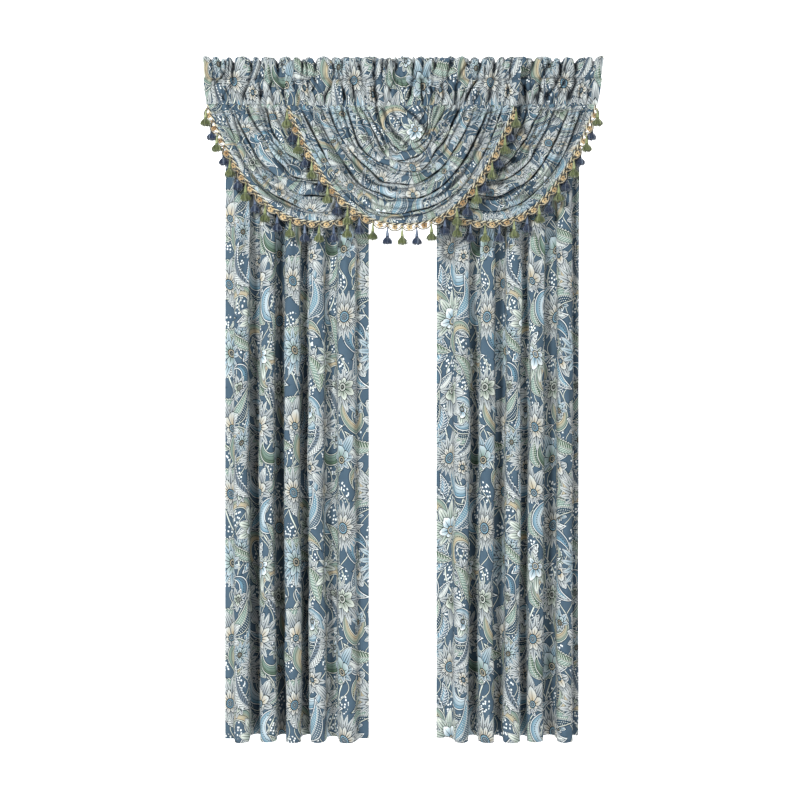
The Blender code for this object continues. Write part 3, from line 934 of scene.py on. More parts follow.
def add_rosette(skin, hem, distance, uneven):
    """A small wound flower of yarn close under the cord, with brown yarn in the gaps between its petals as
    painted shade.
    """
    sides = ROSETTE_PETALS * FACES_A_PETAL
    number = np.arange(sides)
    angle = circle(sides)
    profile = np.linspace(0.08, 1.0, ROSETTE_RINGS)
    size = ROSETTE_RADIUS * uneven.uniform(0.92, 1.06)
    twist = uneven.uniform(0, TURN)
    lobes = 1 + 0.14 * np.cos(ROSETTE_PETALS * angle)[None, :] * profile[:, None]
    radius = size * profile[:, None] * lobes
    bulge = ROSETTE_BULGE * np.sin(math.pi * np.clip(profile * 0.92 + 0.16, 0, 1))
    bulge = bulge * (1 - 0.5 * (profile < 0.15))
    outward = ROSETTE_OUT + radius * np.cos(angle + twist)[None, :]
    sideways = radius * np.sin(angle + twist)[None, :]
    forward = np.repeat(ROSETTE_FORWARD + bulge, sides)
    points = hem.at((distance + sideways).ravel(), outward.ravel(), forward)
    behind = hem.at((distance + sideways[-1]).ravel(), outward[-1], -ROSETTE_FORWARD)
    # Brown faces in the troughs between the petals: painted shade for the gaps
    gap = np.tile(number % FACES_A_PETAL == FACES_A_PETAL // 2, ROSETTE_RINGS - 1)
    ring = np.repeat(np.arange(ROSETTE_RINGS - 1), sides)
    slots = np.where((ring == 0) | (gap & (ring < ROSETTE_RINGS - 2)), 1, 2)
    faces = ring_faces(ROSETTE_RINGS, sides)[:, OVER]
    skin.add(points, faces, slots, uneven.random(), np.repeat(profile * 0.01, sides))
    skin.add(np.concatenate([points[-sides:], behind]), ring_faces(2, sides)[:, OVER], 2, 0.5)
    skin.cap(behind[::-1], 2, 0.5)
    skin.cap(points[:sides], 1, 0.5)


def add_scallop(skin, hem, start, end, uneven):
    """Yarn loops, one in the other, that hang between two tassels, with short threads across them."""
    middle, half = (start + end) / 2, (end - start) / 2
    share = np.linspace(0.0, 1.0, 15)
    bow = np.sin(math.pi * share)
    for slot, depth, width, thick in LOOPS:
        distance = middle - half * width * np.cos(math.pi * share) * (1 - 0.10 * bow)
        outward = LOOP_OUT + depth * bow**0.75
        skin.tube(hem.at(distance, outward, 0.0004 * slot), thick, 5, slot, uneven.random())
    for number in range(CROSS_THREADS):
        share = 0.12 + 0.76 * number / (CROSS_THREADS - 1)
        distance = middle - half * 0.95 * math.cos(math.pi * share)
        reach = 0.0035 + 0.0155 * math.sin(math.pi * share) ** 0.75
        ends = np.array([middle + (distance - middle) * 0.45, distance])
        path = hem.at(ends, np.array([LOOP_OUT, reach]), -0.0006)
        skin.tube(path, THREAD_RADIUS, 4, number % 2, uneven.random())


def skirt_path(root, angle, spread, length, lean):
    """A thread of a tassel's skirt, from under the neck outwards and down."""
    down = np.linspace(0.0, 1.0, len(SKIRT_THREAD_RADII))
    radius = SKIRT_TOP + (spread - SKIRT_TOP) * np.sin(down * 1.95) ** 0.85
    angle = angle + lean * down
    return root + side_by_side(radius * np.cos(angle), radius * np.sin(angle), -length * down)


def add_neck(skin, root, stagger, dark, light, uneven):
    """A wound neck that widens downwards, with dark threads down its sides."""
    down = np.linspace(0.0, 1.0, 9)
    swell = np.interp(down, NECK_SHARES, NECK_RADII) * (1 + 0.05 * np.sin(np.arange(9) * 2.4))
    spine = root + side_by_side(0.0, stagger * (0.2 + 0.8 * down), NECK_TOP - NECK_LENGTH * down)
    skin.tube(spine, swell, 12, light, uneven.random())
    for angle in (0.8, 2.4, 3.9, 5.5):
        beside = np.array([math.cos(angle), math.sin(angle), 0.0])
        skin.tube(spine[::2] + beside * swell[::2, None], THREAD_RADIUS, 3, dark, uneven.random())


def add_skirt(skin, root, dark, light, uneven):
    """Rings of loose threads that gather in a few locks."""
    locks, first = uneven.choice((5, 6, 7)), uneven.uniform(0, TURN)
    for threads, spread, length in SKIRT_RINGS:
        for number in range(threads):
            angle = (number + uneven.uniform(-0.35, 0.35)) * TURN / threads
            in_lock = math.cos(locks * angle + first)
            lean = 0.55 / locks * -math.sin(locks * angle + first) + uneven.uniform(-0.08, 0.08)
            long = length * uneven.uniform(0.95, 1.02) * (0.95 + 0.05 * in_lock)
            out = spread * uneven.uniform(0.92, 1.04) * (0.94 + 0.06 * in_lock)
            yarn = light if in_lock > 0.30 and uneven.random() < 0.75 else dark
            skin.tube(skirt_path(root, angle, out, long, lean), SKIRT_THREAD_RADII, 3, yarn, uneven.random())


def add_tassel(skin, root, stagger, green, uneven):
    """A cord, a knot, a neck, a tie, and a skirt with a dark filling under it. stagger moves them back."""
    dark, light = (3, 4) if green else (5, 6)
    cord = root + [(0.0, 0.0, 0.006), (0.0, stagger * 0.4, -0.006), (0.0, stagger, -0.030)]
    skin.tube(cord, 0.0011, 5, light, uneven.random())
    skin.lathe(root, *KNOT, 8, 2, uneven.random())
    add_neck(skin, root, stagger, dark, light, uneven)
    skin.lathe(root + [0.0, stagger, -TIE_DROP], *TIE, 12, dark, 0.2)
    foot = root + [0.0, stagger, -FILLING_DROP]
    skin.lathe(foot, *FILLING, 10, dark, 0.1)
    add_skirt(skin, foot, dark, light, uneven)


def make_fringe(valance, yarns):
    """The corded edge, the scallops with their rosettes, and the tassels."""
    uneven = random.Random(valance.seed + 100)
    hem = Hem(valance)
    run = hem.length[-1] - 2 * TRIM_START
    pitch = (run - TASSEL_ROOT) / (TASSELS - 1)
    centres = [TRIM_START + TASSEL_ROOT / 2 + number * pitch for number in range(TASSELS)]
    edging, tassels = Skin(), Skin()
    add_cord(edging, hem)
    for start, end in zip(centres, centres[1:]):
        add_scallop(edging, hem, start, end, uneven)
        add_rosette(edging, hem, (start + end) / 2, uneven)
    for number, centre in enumerate(centres):
        root = hem.at(np.array([centre]), TRIM_AT_TASSEL - 0.002)[0]
        stagger = TASSEL_STAGGER if number % 2 else -TASSEL_STAGGER
        add_tassel(tassels, root, stagger, number % 2 == 0, uneven)
    edge = edging.make(f"{valance.name}_corded_edge", yarns[:3])
    hanging = tassels.make(f"{valance.name}_tassels", yarns)
    for piece in (edge, hanging):
        place(piece, [f"{valance.name}_fringe"])
    return [edge, hanging]


# Materials


def srgb(red, green, blue):
    """A colour given as 0 to 255 on a screen, as Blender's linear numbers."""
    def linear(value):
        value /= 255
        return value / 12.92 if value <= 0.04045 else ((value + 0.055) / 1.055) ** 2.4
    return (linear(red), linear(green), linear(blue), 1.0)


def by_node(operation):
    """Python's operator for a Number, as a math node."""
    return lambda number, other: number.math(operation, other)


class Number:
    """A number that shader nodes work out. Python's own operators add the nodes."""

    def __init__(self, tree, socket):
        self.tree = tree
        self.socket = socket

    def made_by(self, kind, values, operation=None):
        """The first output of a new node that takes these values."""
        node = self.tree.nodes.new(kind)
        if operation:
            node.operation = operation
        for value, socket in zip(values, node.inputs):
            feed(self.tree, value, socket)
        return Number(self.tree, node.outputs[0])

    def math(self, operation, *others):
        return self.made_by("ShaderNodeMath", (self, *others), operation)

    __add__ = __radd__ = by_node("ADD")
    __sub__ = by_node("SUBTRACT")
    __mul__ = __rmul__ = by_node("MULTIPLY")
    __truediv__ = by_node("DIVIDE")

    def __rsub__(self, other):
        return (self * -1) + other

    def ramp(self, low, high, start=0.0, end=1.0):
        """start where this is at low or under, end where it is at high or over."""
        return self.made_by("ShaderNodeMapRange", (self, low, high, start, end))

    def inside(self, edge=0.0, soft=0.5 * MM):
        """1 where this distance is under edge, 0 where it is over it."""
        return self.ramp(edge - soft, edge + soft, 1.0, 0.0)

    def line(self, half, soft=0.4 * MM):
        """1 on a line of this half width around 0, and 0 off it."""
        return self.math("ABSOLUTE").ramp(half - soft, half + soft, 1.0, 0.0)


def feed(tree, value, socket):
    if isinstance(value, Number):
        tree.links.new(value.socket, socket)
    elif isinstance(value, bpy.types.NodeSocket):
        tree.links.new(value, socket)
    else:
        socket.default_value = value


def blend(tree, share, below, above):
    """A colour that goes from below to above as share goes from 0 to 1."""
    node = tree.nodes.new("ShaderNodeMix")
    node.data_type = "RGBA"
    feed(tree, share, node.inputs[0])
    feed(tree, below, node.inputs[6])
    feed(tree, above, node.inputs[7])
    return node.outputs[2]


def steps(tree, share, colours):
    """Picks one of colours by share, which runs from 0 to 1."""
    node = tree.nodes.new("ShaderNodeValToRGB")
    ramp = node.color_ramp
    ramp.interpolation = "CONSTANT"
    for number, colour in enumerate(colours):
        stop = ramp.elements[number] if number < 2 else ramp.elements.new(number / len(colours))
        stop.position = number / len(colours)
        stop.color = (*colour[:3], 1.0)
    feed(tree, share, node.inputs[0])
    return node.outputs[0]


def parts(tree, colour):
    node = tree.nodes.new("ShaderNodeSeparateXYZ")
    feed(tree, colour, node.inputs[0])
    return [Number(tree, output) for output in node.outputs]


def map_place(tree, name):
    node = tree.nodes.new("ShaderNodeUVMap")
    node.uv_map = name
    return parts(tree, node.outputs[0])[:2]


def noise(tree, scale, detail=2.0, vector=None):
    node = tree.nodes.new("ShaderNodeTexNoise")
    node.inputs["Scale"].default_value = scale
    node.inputs["Detail"].default_value = detail
    if vector is not None:
        tree.links.new(vector, node.inputs["Vector"])
    return Number(tree, node.outputs[0])


# The print: ground, stems, dots, scrolls, leaves and flowers, each layer over the last

GROUND = srgb(84, 103, 119)
GROUND_DEEP = srgb(54, 74, 91)
INK = srgb(12, 19, 25)
# The painted shade that the creases map lays into the cloth's colour
DEEP_SHADE = srgb(17, 25, 34)
CREAM = srgb(226, 229, 219)
WHITE = srgb(248, 251, 251)
PETAL = srgb(212, 214, 212)
PALE_BLUE = srgb(196, 208, 214)
SAGE = srgb(132, 153, 144)
MOSS = srgb(92, 112, 94)
SKY = srgb(113, 148, 167)
TAN = srgb(194, 178, 150)
SHADE = srgb(112, 124, 136)


class Motifs(NamedTuple):
    """One layer's cells: their size, how far they are shifted, and how many there are each way before they
    repeat. The table has a row of nine numbers from 0 to 1 for each cell."""

    size: tuple
    shift: tuple
    columns: int
    rows: int
    table: list


MOST_PETALS = 24
# The tables' numbers are hundredths, but for the petals. A motif at 50 across and 50 down is in the middle.
# petals, radius, how much shorter the lower petals are, turn, across, down, colouring, notch, heart
FLOWER_ROWS = [
    (18, 90, 35, 4, 45, 55, 10, 44, 34),
    (9, 100, 70, 95, 55, 40, 12, 40, 22),
    (14, 86, 20, 30, 60, 60, 40, 50, 30),
    (11, 98, 64, 10, 52, 45, 60, 42, 26),
    (20, 88, 30, 90, 40, 55, 10, 38, 38),
    (8, 96, 66, 60, 60, 45, 90, 46, 24),
    (9, 100, 68, 3, 50, 60, 12, 44, 22),
    (16, 90, 35, 85, 42, 40, 10, 48, 32),
    (12, 94, 58, 45, 58, 50, 60, 50, 24),
    (22, 92, 25, 97, 55, 55, 12, 36, 38),
    (7, 98, 70, 8, 45, 45, 40, 46, 24),
    (13, 94, 52, 70, 50, 55, 90, 42, 28),
]
SMALL_ROWS = [
    (8, 50, 45, 20, 50, 50, 90, 44, 30),
    (12, 54, 35, 85, 60, 40, 40, 48, 28),
    (6, 56, 60, 45, 40, 60, 60, 40, 26),
    (10, 50, 10, 95, 50, 40, 10, 46, 30),
    (14, 56, 55, 30, 60, 50, 90, 40, 32),
    (7, 50, 45, 75, 40, 50, 60, 46, 28),
    (9, 58, 60, 10, 50, 60, 40, 44, 30),
    (5, 54, 55, 60, 50, 50, 10, 50, 30),
]
# half length, half width, bend, turn, across, down, colouring, veins, dots. A bend of 50 is straight.
LEAF_ROWS = [
    (80, 46, 88, 6, 50, 50, 90, 100, 0),
    (70, 52, 20, 88, 45, 50, 60, 0, 100),
    (85, 38, 72, 15, 55, 45, 10, 100, 0),
    (75, 56, 12, 95, 50, 55, 40, 0, 100),
    (80, 42, 92, 42, 50, 50, 90, 100, 0),
    (70, 54, 28, 10, 55, 50, 10, 100, 0),
    (85, 44, 8, 90, 45, 45, 60, 0, 100),
    (75, 48, 78, 55, 50, 50, 90, 100, 0),
    (80, 50, 22, 5, 50, 55, 10, 100, 0),
    (70, 56, 88, 82, 55, 50, 60, 0, 100),
    (85, 46, 66, 20, 45, 50, 10, 100, 0),
    (75, 42, 8, 60, 50, 50, 40, 0, 100),
]
SPRIG_ROWS = [
    (52, 36, 70, 12, 50, 50, 90, 100, 0),
    (46, 42, 30, 80, 50, 50, 10, 100, 0),
    (54, 34, 60, 35, 50, 50, 90, 0, 100),
    (50, 40, 25, 95, 50, 50, 40, 100, 0),
    (48, 36, 80, 22, 50, 50, 60, 0, 100),
    (53, 38, 40, 66, 50, 50, 90, 100, 0),
    (46, 42, 65, 5, 50, 50, 10, 0, 100),
    (52, 36, 20, 50, 50, 50, 90, 100, 0),
    (50, 34, 75, 88, 50, 50, 40, 0, 100),
    (48, 40, 35, 28, 50, 50, 10, 100, 0),
    (54, 38, 30, 72, 50, 50, 90, 0, 100),
    (46, 36, 70, 42, 50, 50, 60, 100, 0),
]
# the curl's radius, half width, how far it winds in, turn, across, down, colouring, stripes, dots
SCROLL_ROWS = [
    (46, 38, 60, 30, 50, 50, 10, 100, 0),
    (40, 34, 40, 70, 40, 50, 90, 0, 100),
    (50, 32, 75, 2, 60, 50, 10, 0, 100),
    (44, 40, 50, 45, 50, 60, 40, 100, 0),
    (42, 30, 80, 80, 50, 50, 40, 100, 0),
    (48, 36, 45, 25, 50, 40, 10, 0, 100),
    (38, 34, 70, 64, 60, 50, 60, 100, 0),
    (50, 38, 55, 12, 40, 50, 10, 100, 0),
    (44, 32, 35, 38, 50, 50, 40, 0, 100),
    (40, 36, 65, 93, 50, 50, 10, 0, 100),
    (48, 30, 50, 55, 40, 50, 10, 100, 0),
    (42, 38, 75, 18, 50, 60, 90, 0, 100),
]


def shares(rows, most=100):
    """The rows' numbers from 0 to 1. most is what the first number of a row is counted against."""
    return [(first / most, *(number / 100 for number in rest)) for first, *rest in rows]


FLOWERS = Motifs((0.160, 0.220), (0.0, 0.0), 4, 3, shares(FLOWER_ROWS, MOST_PETALS))
SMALL_FLOWERS = Motifs((0.160, 0.165), (0.078, 0.035), 4, 2, shares(SMALL_ROWS, MOST_PETALS))
LEAVES = Motifs((0.160, 0.220), (0.080, 0.055), 4, 3, shares(LEAF_ROWS))
SCROLLS = Motifs((0.160, 0.220), (0.064, 0.150), 4, 3, shares(SCROLL_ROWS))
SPRIGS = Motifs((0.1067, 0.110), (0.03, 0.02), 6, 2, shares(SPRIG_ROWS))
BERRIES = Motifs((0.080, 0.132), (0.03, 0.05), 4, 5, [])


def cells(u, v, motifs):
    """Cuts the cloth into cells, every other column half a cell lower. Gives a point's place from the middle
    of its cell, and the cell's share of the table from 0 to 1."""
    wide, high = motifs.size
    across = (u - motifs.shift[0]) / wide
    column = across.math("FLOOR")
    x = (across - column - 0.5) * wide
    down = (v - motifs.shift[1]) / high + column.math("FLOORED_MODULO", 2.0) * 0.5
    row = down.math("FLOOR")
    y = (down - row - 0.5) * high
    columns, rows = float(motifs.columns), float(motifs.rows)
    index = column.math("FLOORED_MODULO", columns) * rows + row.math("FLOORED_MODULO", rows)
    return x, y, (index + 0.5) / (columns * rows)


def turned_by(x, y, turn):
    """x and y turned by a number of whole turns."""
    angle = turn * TURN
    sine, cosine = angle.math("SINE"), angle.math("COSINE")
    return x * cosine + y * sine, y * cosine - x * sine


def zigzag(value):
    """0 at whole numbers and 1 half-way between them."""
    return value.math("PINGPONG", 0.5) * 2.0


def motif_frame(tree, u, v, motifs):
    """A point's place in its motif's own frame, the motif's shape and looks, and a pick of its colours."""
    x, y, share = cells(u, v, motifs)
    shape, where, looks = (
        parts(tree, steps(tree, share, [row[first:first + 3] for row in motifs.table])) for first in (0, 3, 6)
    )
    x, y = turned_by(x - (where[1] - 0.5) * 0.05, y - (where[2] - 0.5) * 0.08, where[0])

    def pick(*colours):
        return steps(tree, looks[0], colours)

    return x, y, shape, looks, pick


def outlined(tree, colour, d, motif, rim):
    """Lays a motif over the ground: a dark shadow, a dark edge, a pale rim and a fine dark line inside it.
    d is the distance to the motif's edge, less than 0 inside."""
    colour = blend(tree, d.ramp(1.0 * MM, 6 * MM, 0.75, 0.0), colour, GROUND_DEEP)
    colour = blend(tree, d.inside(1.3 * MM), colour, INK)
    motif = blend(tree, (d + 3.3 * MM).line(0.9 * MM), motif, INK)
    motif = blend(tree, d.ramp(-2.7 * MM, -2.1 * MM), motif, rim)
    return blend(tree, d.inside(-0.2 * MM), colour, motif)


def petal_ring(tree, r, angle, petals, reach, notch, base, tip, striped):
    """One ring of pointed petals: its distance to the edge, and its colour, from base at the heart to tip."""
    gap = zigzag(angle * petals * (1 / TURN))
    saw = zigzag(r / (7 * MM)) * (1.6 * MM)
    d = r - reach * (1.0 - gap.math("POWER", 1.15) * notch) + saw
    width = r * math.pi / petals
    near = r / reach
    middle = (1.0 - gap) * width
    fill = blend(tree, near.ramp(0.30, 0.85), base, tip)
    hatching = zigzag(gap * width / (8 * MM)).ramp(0.32, 0.20, 0.0, 1.0)
    fill = blend(tree, hatching * near.ramp(0.62, 0.98, 0.85, 0.0) * striped, fill, INK)
    fill = blend(tree, (gap * width).line(1.0 * MM) * near.ramp(0.5, 0.9, 1.0, 0.0), fill, INK)
    fill = blend(tree, middle.line(2.6 * MM), fill, tip)
    fill = blend(tree, middle.line(1.4 * MM), fill, INK)
    return d, fill


def flowers(tree, u, v, colour, motifs):
    """Blossoms with two rings of feathered petals and a dotted heart, some of them fans."""
    x, y, shape, looks, pick = motif_frame(tree, u, v, motifs)
    petals = (shape[0] * float(MOST_PETALS)).math("ROUND")
    radius = shape[1] * 0.1
    r = (x * x + y * y).math("SQRT")
    angle = x.math("ARCTAN2", y)
    lobes = (angle * 3.0 + shape[0] * 40.0).math("SINE") * 0.07
    reach = radius * (1.0 - shape[2] * (0.5 - angle.math("COSINE") * 0.5) + lobes)
    base, tip = pick(SHADE, SKY, SAGE, SHADE), pick(PETAL, PALE_BLUE, CREAM, PETAL)
    d, flower = petal_ring(tree, r, angle, petals, reach, looks[1], base, tip, 1.0)
    inner_petals = (petals * 0.5).math("CEIL")
    base, tip = pick(TAN, SAGE, SKY, MOSS), pick(PETAL, PALE_BLUE, WHITE, CREAM)
    inner_d, tier = petal_ring(tree, r, angle, inner_petals, reach * 0.55, 0.36, base, tip, 0.0)
    flower = blend(tree, inner_d.inside(), flower, tier)
    flower = blend(tree, inner_d.line(1.3 * MM), flower, INK)
    heart = radius * looks[2] * 0.5
    flower = blend(tree, (r - heart).inside(), flower, pick(SKY, TAN, TAN, CREAM))
    seeds = zigzag(r / (5 * MM)) * zigzag(angle * (7 / math.pi))
    middle = blend(tree, seeds.ramp(0.45, 0.6), pick(GROUND_DEEP, INK, GROUND, INK), CREAM)
    flower = blend(tree, (r - heart * 0.72).inside(), flower, middle)
    flower = blend(tree, (r - heart).line(1.4 * MM), flower, INK)
    return outlined(tree, colour, d, flower, WHITE)


def leaves(tree, u, v, colour, motifs):
    """Bent leaves, dark on one side and pale on the other, veined or dotted inside."""
    x, y, shape, looks, pick = motif_frame(tree, u, v, motifs)
    length = shape[0] * 0.1
    s = y / length
    bend = (shape[2] - 0.5) * 0.1
    slope = bend * s * 2.0 / length
    side = (x - bend * (s * s - 0.5)) * (slope * slope + 1.0).math("INVERSE_SQRT")
    across = side.math("ABSOLUTE")
    vein = zigzag((y - across * 0.9) / (10 * MM))
    room = (1.0 - s * s).math("MAXIMUM", 0.0)
    half = shape[1] * 0.05 * room * (1.0 - s * 0.35) * (1.0 - vein * 0.20 * looks[1])
    d = (across - half).math("MAXIMUM", (s.math("ABSOLUTE") - 1.0) * length)
    rim = pick(CREAM, WHITE, CREAM, WHITE)
    pale, deep = pick(SAGE, SKY, SAGE, PETAL), pick(MOSS, GROUND, GROUND_DEEP, SHADE)
    fill = blend(tree, side.ramp(-0.5 * MM, 0.5 * MM), pale, deep)
    fill = blend(tree, vein.ramp(0.70, 0.85) * looks[1], fill, pick(CREAM, WHITE, TAN, INK))
    dots = zigzag(across / (7 * MM)) * zigzag(y / (7 * MM))
    fill = blend(tree, dots.ramp(0.45, 0.60) * looks[2], fill, CREAM)
    fill = blend(tree, side.line(1.8 * MM), fill, rim)
    fill = blend(tree, side.line(0.8 * MM), fill, INK)
    return outlined(tree, colour, d, fill, rim)


def scrolls(tree, u, v, colour, motifs):
    """Curled leaves: a tapered band on a spiral, striped along or dotted."""
    x, y, shape, looks, pick = motif_frame(tree, u, v, motifs)
    radius = shape[0] * 0.1
    wind = x.math("ARCTAN2", y) * (1 / math.pi)
    along = wind * 1.12
    room = (1.0 - along * along).math("MAXIMUM", 0.0)
    half = shape[1] * 0.05 * room * (1.0 + along * 0.55) + 0.2 * MM
    side = (x * x + y * y).math("SQRT") - radius * (1.0 + wind * 0.5 * shape[2])
    d = (side.math("ABSOLUTE") - half).math("MAXIMUM", (along.math("ABSOLUTE") - 1.0) * radius)
    pale, deep = pick(TAN, PALE_BLUE, SAGE, SKY), pick(SAGE, SKY, MOSS, GROUND)
    fill = blend(tree, (side / half).ramp(-0.5, 0.6), pale, deep)
    stripes = zigzag(side / half * 1.5 + 0.5)
    fill = blend(tree, stripes.ramp(0.20, 0.05) * looks[1] * 0.8, fill, INK)
    dots = zigzag(wind * radius * (math.pi / (7 * MM))) * side.line(1.6 * MM)
    fill = blend(tree, dots.ramp(0.4, 0.6) * looks[2], fill, INK)
    return outlined(tree, colour, d, fill, pick(CREAM, WHITE, CREAM, WHITE))


# How far apart stems are, how far they swing, how high a wave is, their half width, and where they start
STEMS = (
    (0.16, 0.052, 0.44, 2.2 * MM, 0.02),
    (0.1067, 0.030, 0.22, 1.4 * MM, 0.05),
    (0.064, 0.022, 0.14, 1.1 * MM, 0.01),
)


def stems(tree, u, v, colour, pitch, swing, rise, half, shift):
    """Thin winding stems, one in each column."""
    across = (u - shift) / pitch
    column = across.math("FLOOR")
    phase = v * (TURN / rise) + column.math("FLOORED_MODULO", 2.0) * math.pi
    slope = phase.math("COSINE") * (swing * TURN / rise)
    x = (across - column - 0.5) * pitch - phase.math("SINE") * swing
    d = x * (slope * slope + 1.0).math("INVERSE_SQRT")
    colour = blend(tree, d.line(half + 1.2 * MM), colour, INK)
    return blend(tree, d.line(half), colour, CREAM)


def on_cloth(tree, u, v):
    """A place on the cloth as one vector."""
    node = tree.nodes.new("ShaderNodeCombineXYZ")
    feed(tree, u, node.inputs[0])
    feed(tree, v, node.inputs[1])
    return node.outputs[0]


def berries(tree, u, v, colour):
    """Clusters of white dots."""
    node = tree.nodes.new("ShaderNodeTexVoronoi")
    node.voronoi_dimensions = "2D"
    node.inputs["Scale"].default_value = 1 / (12.5 * MM)
    node.inputs["Randomness"].default_value = 0.85
    tree.links.new(on_cloth(tree, u, v), node.inputs["Vector"])
    spot = Number(tree, node.outputs["Distance"])
    x, y, _ = cells(u, v, BERRIES)
    cluster = (x * x + y * y * 0.64).math("SQRT").ramp(26 * MM, 28 * MM, 1.0, 0.0)
    colour = blend(tree, spot.ramp(0.32, 0.36, 1.0, 0.0) * cluster, colour, INK)
    return blend(tree, spot.ramp(0.25, 0.29, 1.0, 0.0) * cluster, colour, WHITE)


def make_print():
    """The print as a node group with one colour output, drawn in the cloth's own metres."""
    tree = bpy.data.node_groups.new("floral_print", "ShaderNodeTree")
    tree.interface.new_socket("Colour", in_out="OUTPUT", socket_type="NodeSocketColor")
    u, v = map_place(tree, "cloth")
    u, v = u + (v * 31.0).math("SINE") * 0.006, v + (u * 27.0).math("SINE") * 0.006
    mottle = noise(tree, 9.0, 3.0, on_cloth(tree, u, v))
    colour = blend(tree, mottle.ramp(0.35, 0.65, 0.0, 0.30), GROUND, GROUND_DEEP)
    colour = berries(tree, u, v, colour)
    for stem in STEMS:
        colour = stems(tree, u, v, colour, *stem)
    for draw, motifs in (
        (leaves, SPRIGS), (scrolls, SCROLLS), (flowers, SMALL_FLOWERS), (leaves, LEAVES), (flowers, FLOWERS)
    ):
        colour = draw(tree, u, v, colour, motifs)
    end = tree.nodes.new("NodeGroupOutput")
    tree.links.new(colour, end.inputs[0])
    return tree


def new_material(name, roughness, sheen, shine=0.25):
    made = bpy.data.materials.new(name)
    made.use_nodes = True
    shader = made.node_tree.nodes["Principled BSDF"]
    shader.inputs["Roughness"].default_value = roughness
    shader.inputs["Sheen Weight"].default_value = sheen
    shader.inputs["Sheen Roughness"].default_value = 0.5
    shader.inputs["Specular IOR Level"].default_value = shine
    return made, made.node_tree, shader


def bump(tree, shader, height, distance):
    node = tree.nodes.new("ShaderNodeBump")
    node.inputs["Strength"].default_value = 1.0
    node.inputs["Distance"].default_value = distance
    feed(tree, height, node.inputs["Height"])
    tree.links.new(node.outputs[0], shader.inputs["Normal"])


THREAD_PITCH = 0.0011
STITCH = 0.004
# Each yarn's colour, and how dark it is between its fibres
YARNS = (
    ("cream_yarn", (234, 222, 194), (168, 150, 120)),
    ("brown_yarn", (66, 58, 50), (28, 26, 26)),
    ("gold_yarn", (236, 206, 158), (160, 120, 78)),
    ("green_yarn", (126, 134, 84), (48, 57, 38)),
    ("pale_green_yarn", (180, 184, 138), (128, 136, 90)),
    ("navy_yarn", (52, 68, 98), (24, 33, 52)),
    ("pale_navy_yarn", (134, 146, 164), (84, 96, 120)),
)


def cloth_material(name, drawing, paleness):
    """Woven cloth with the print on it. paleness is how far the print is washed out, from 0 to 1."""
    made, tree, shader = new_material(name, 0.85, 0.03, 0.10)
    group = tree.nodes.new("ShaderNodeGroup")
    group.node_tree = drawing
    colour = group.outputs[0]
    if paleness:
        colour = blend(tree, paleness, colour, srgb(172, 178, 184))
    u, v = map_place(tree, "cloth")
    side, foot = map_place(tree, "stitches")
    warp = (u * (TURN / THREAD_PITCH)).math("SINE")
    weft = (v * (TURN / THREAD_PITCH)).math("SINE")
    weave = (warp * weft) * 0.5 + 0.5
    slub = noise(tree, 260.0, 2.0)
    shade = (weave * 0.5 + slub * 0.5).ramp(0.2, 0.8, 0.10, 0.0)
    colour = blend(tree, shade, colour, INK)
    # Painted shade: the creases map darkens the print towards DEEP_SHADE in creases and recesses
    crease_shade = map_place(tree, "creases")[0]
    colour = blend(tree, crease_shade.ramp(0.20, 1.0, 0.0, 0.92), colour, DEEP_SHADE)
    dash = zigzag(v / STITCH).ramp(0.25, 0.35) * side.line(0.5 * MM)
    dash = dash.math("MAXIMUM", zigzag(u / STITCH).ramp(0.25, 0.35) * foot.line(0.5 * MM))
    colour = blend(tree, dash * 0.7, colour, srgb(70, 84, 104))
    tree.links.new(colour, shader.inputs["Base Color"])
    sunk = side.math("ABSOLUTE").math("MINIMUM", foot.math("ABSOLUTE")).ramp(0.0, 2.5 * MM)
    height = weave * 0.10 + slub * 0.12 + sunk * 0.8
    bump(tree, shader, height, 0.0006)
    return made


def yarn_material(name, colour, dark):
    """Soft twisted yarn. The map's first number differs from yarn to yarn, and the second runs along it."""
    made, tree, shader = new_material(name, 0.75, 0.35)
    tone, along = map_place(tree, "yarn")
    fibre = noise(tree, 900.0, 2.0)
    twist = zigzag((along + fibre * 0.0006) / 0.0026)
    shade = (tone * 7.31).math("FRACT") * 0.55 + twist * 0.25 + fibre * 0.30
    mixed = blend(tree, shade.ramp(0.15, 0.95), dark, colour)
    tree.links.new(mixed, shader.inputs["Base Color"])
    bump(tree, shader, twist * 0.6 + fibre * 0.5, 0.0005)
    return made


# The room

FLOOR_LEVEL = -2.62
# Where the floor starts to bend up, the radius of the bend, and its number of steps
WALL_START = 2.4
WALL_BEND = 1.2
WALL_STEPS = 24
DAYLIGHT = (0.94, 1.0, 1.01)


def make_stage():
    """A plain pale floor that curves up into a plain wall."""
    turn = [math.pi / 2 * number / WALL_STEPS for number in range(WALL_STEPS + 1)]
    bend = [(WALL_START + WALL_BEND * math.sin(at), WALL_BEND - WALL_BEND * math.cos(at)) for at in turn]
    profile = [(-4.5, 0.0), *bend, (WALL_START + WALL_BEND, 5.0)]
    points = [(side, y, FLOOR_LEVEL + z) for y, z in profile for side in (-6.0, 6.0)]
    made_of, tree, shader = new_material("pale_wall", 0.9, 0.0)
    pale = blend(tree, noise(tree, 6.0, 3.0), srgb(248, 248, 249), srgb(252, 252, 252))
    tree.links.new(pale, shader.inputs["Base Color"])
    make_object("pale_floor", points, grid_faces(len(profile), 2).tolist(), [made_of])


def add_light(name, where, target, size, power, colour=(1.0, 1.0, 1.0)):
    """A rectangular light at where that faces target."""
    data = bpy.data.lights.new(name, "AREA")
    data.shape = "RECTANGLE"
    data.size, data.size_y = size
    data.energy = power
    data.color = colour
    lamp = show(name, data)
    lamp.location = where
    toward = Vector(np.array(target) - np.array(where))
    lamp.rotation_euler = toward.to_track_quat("-Z", "Y").to_euler()


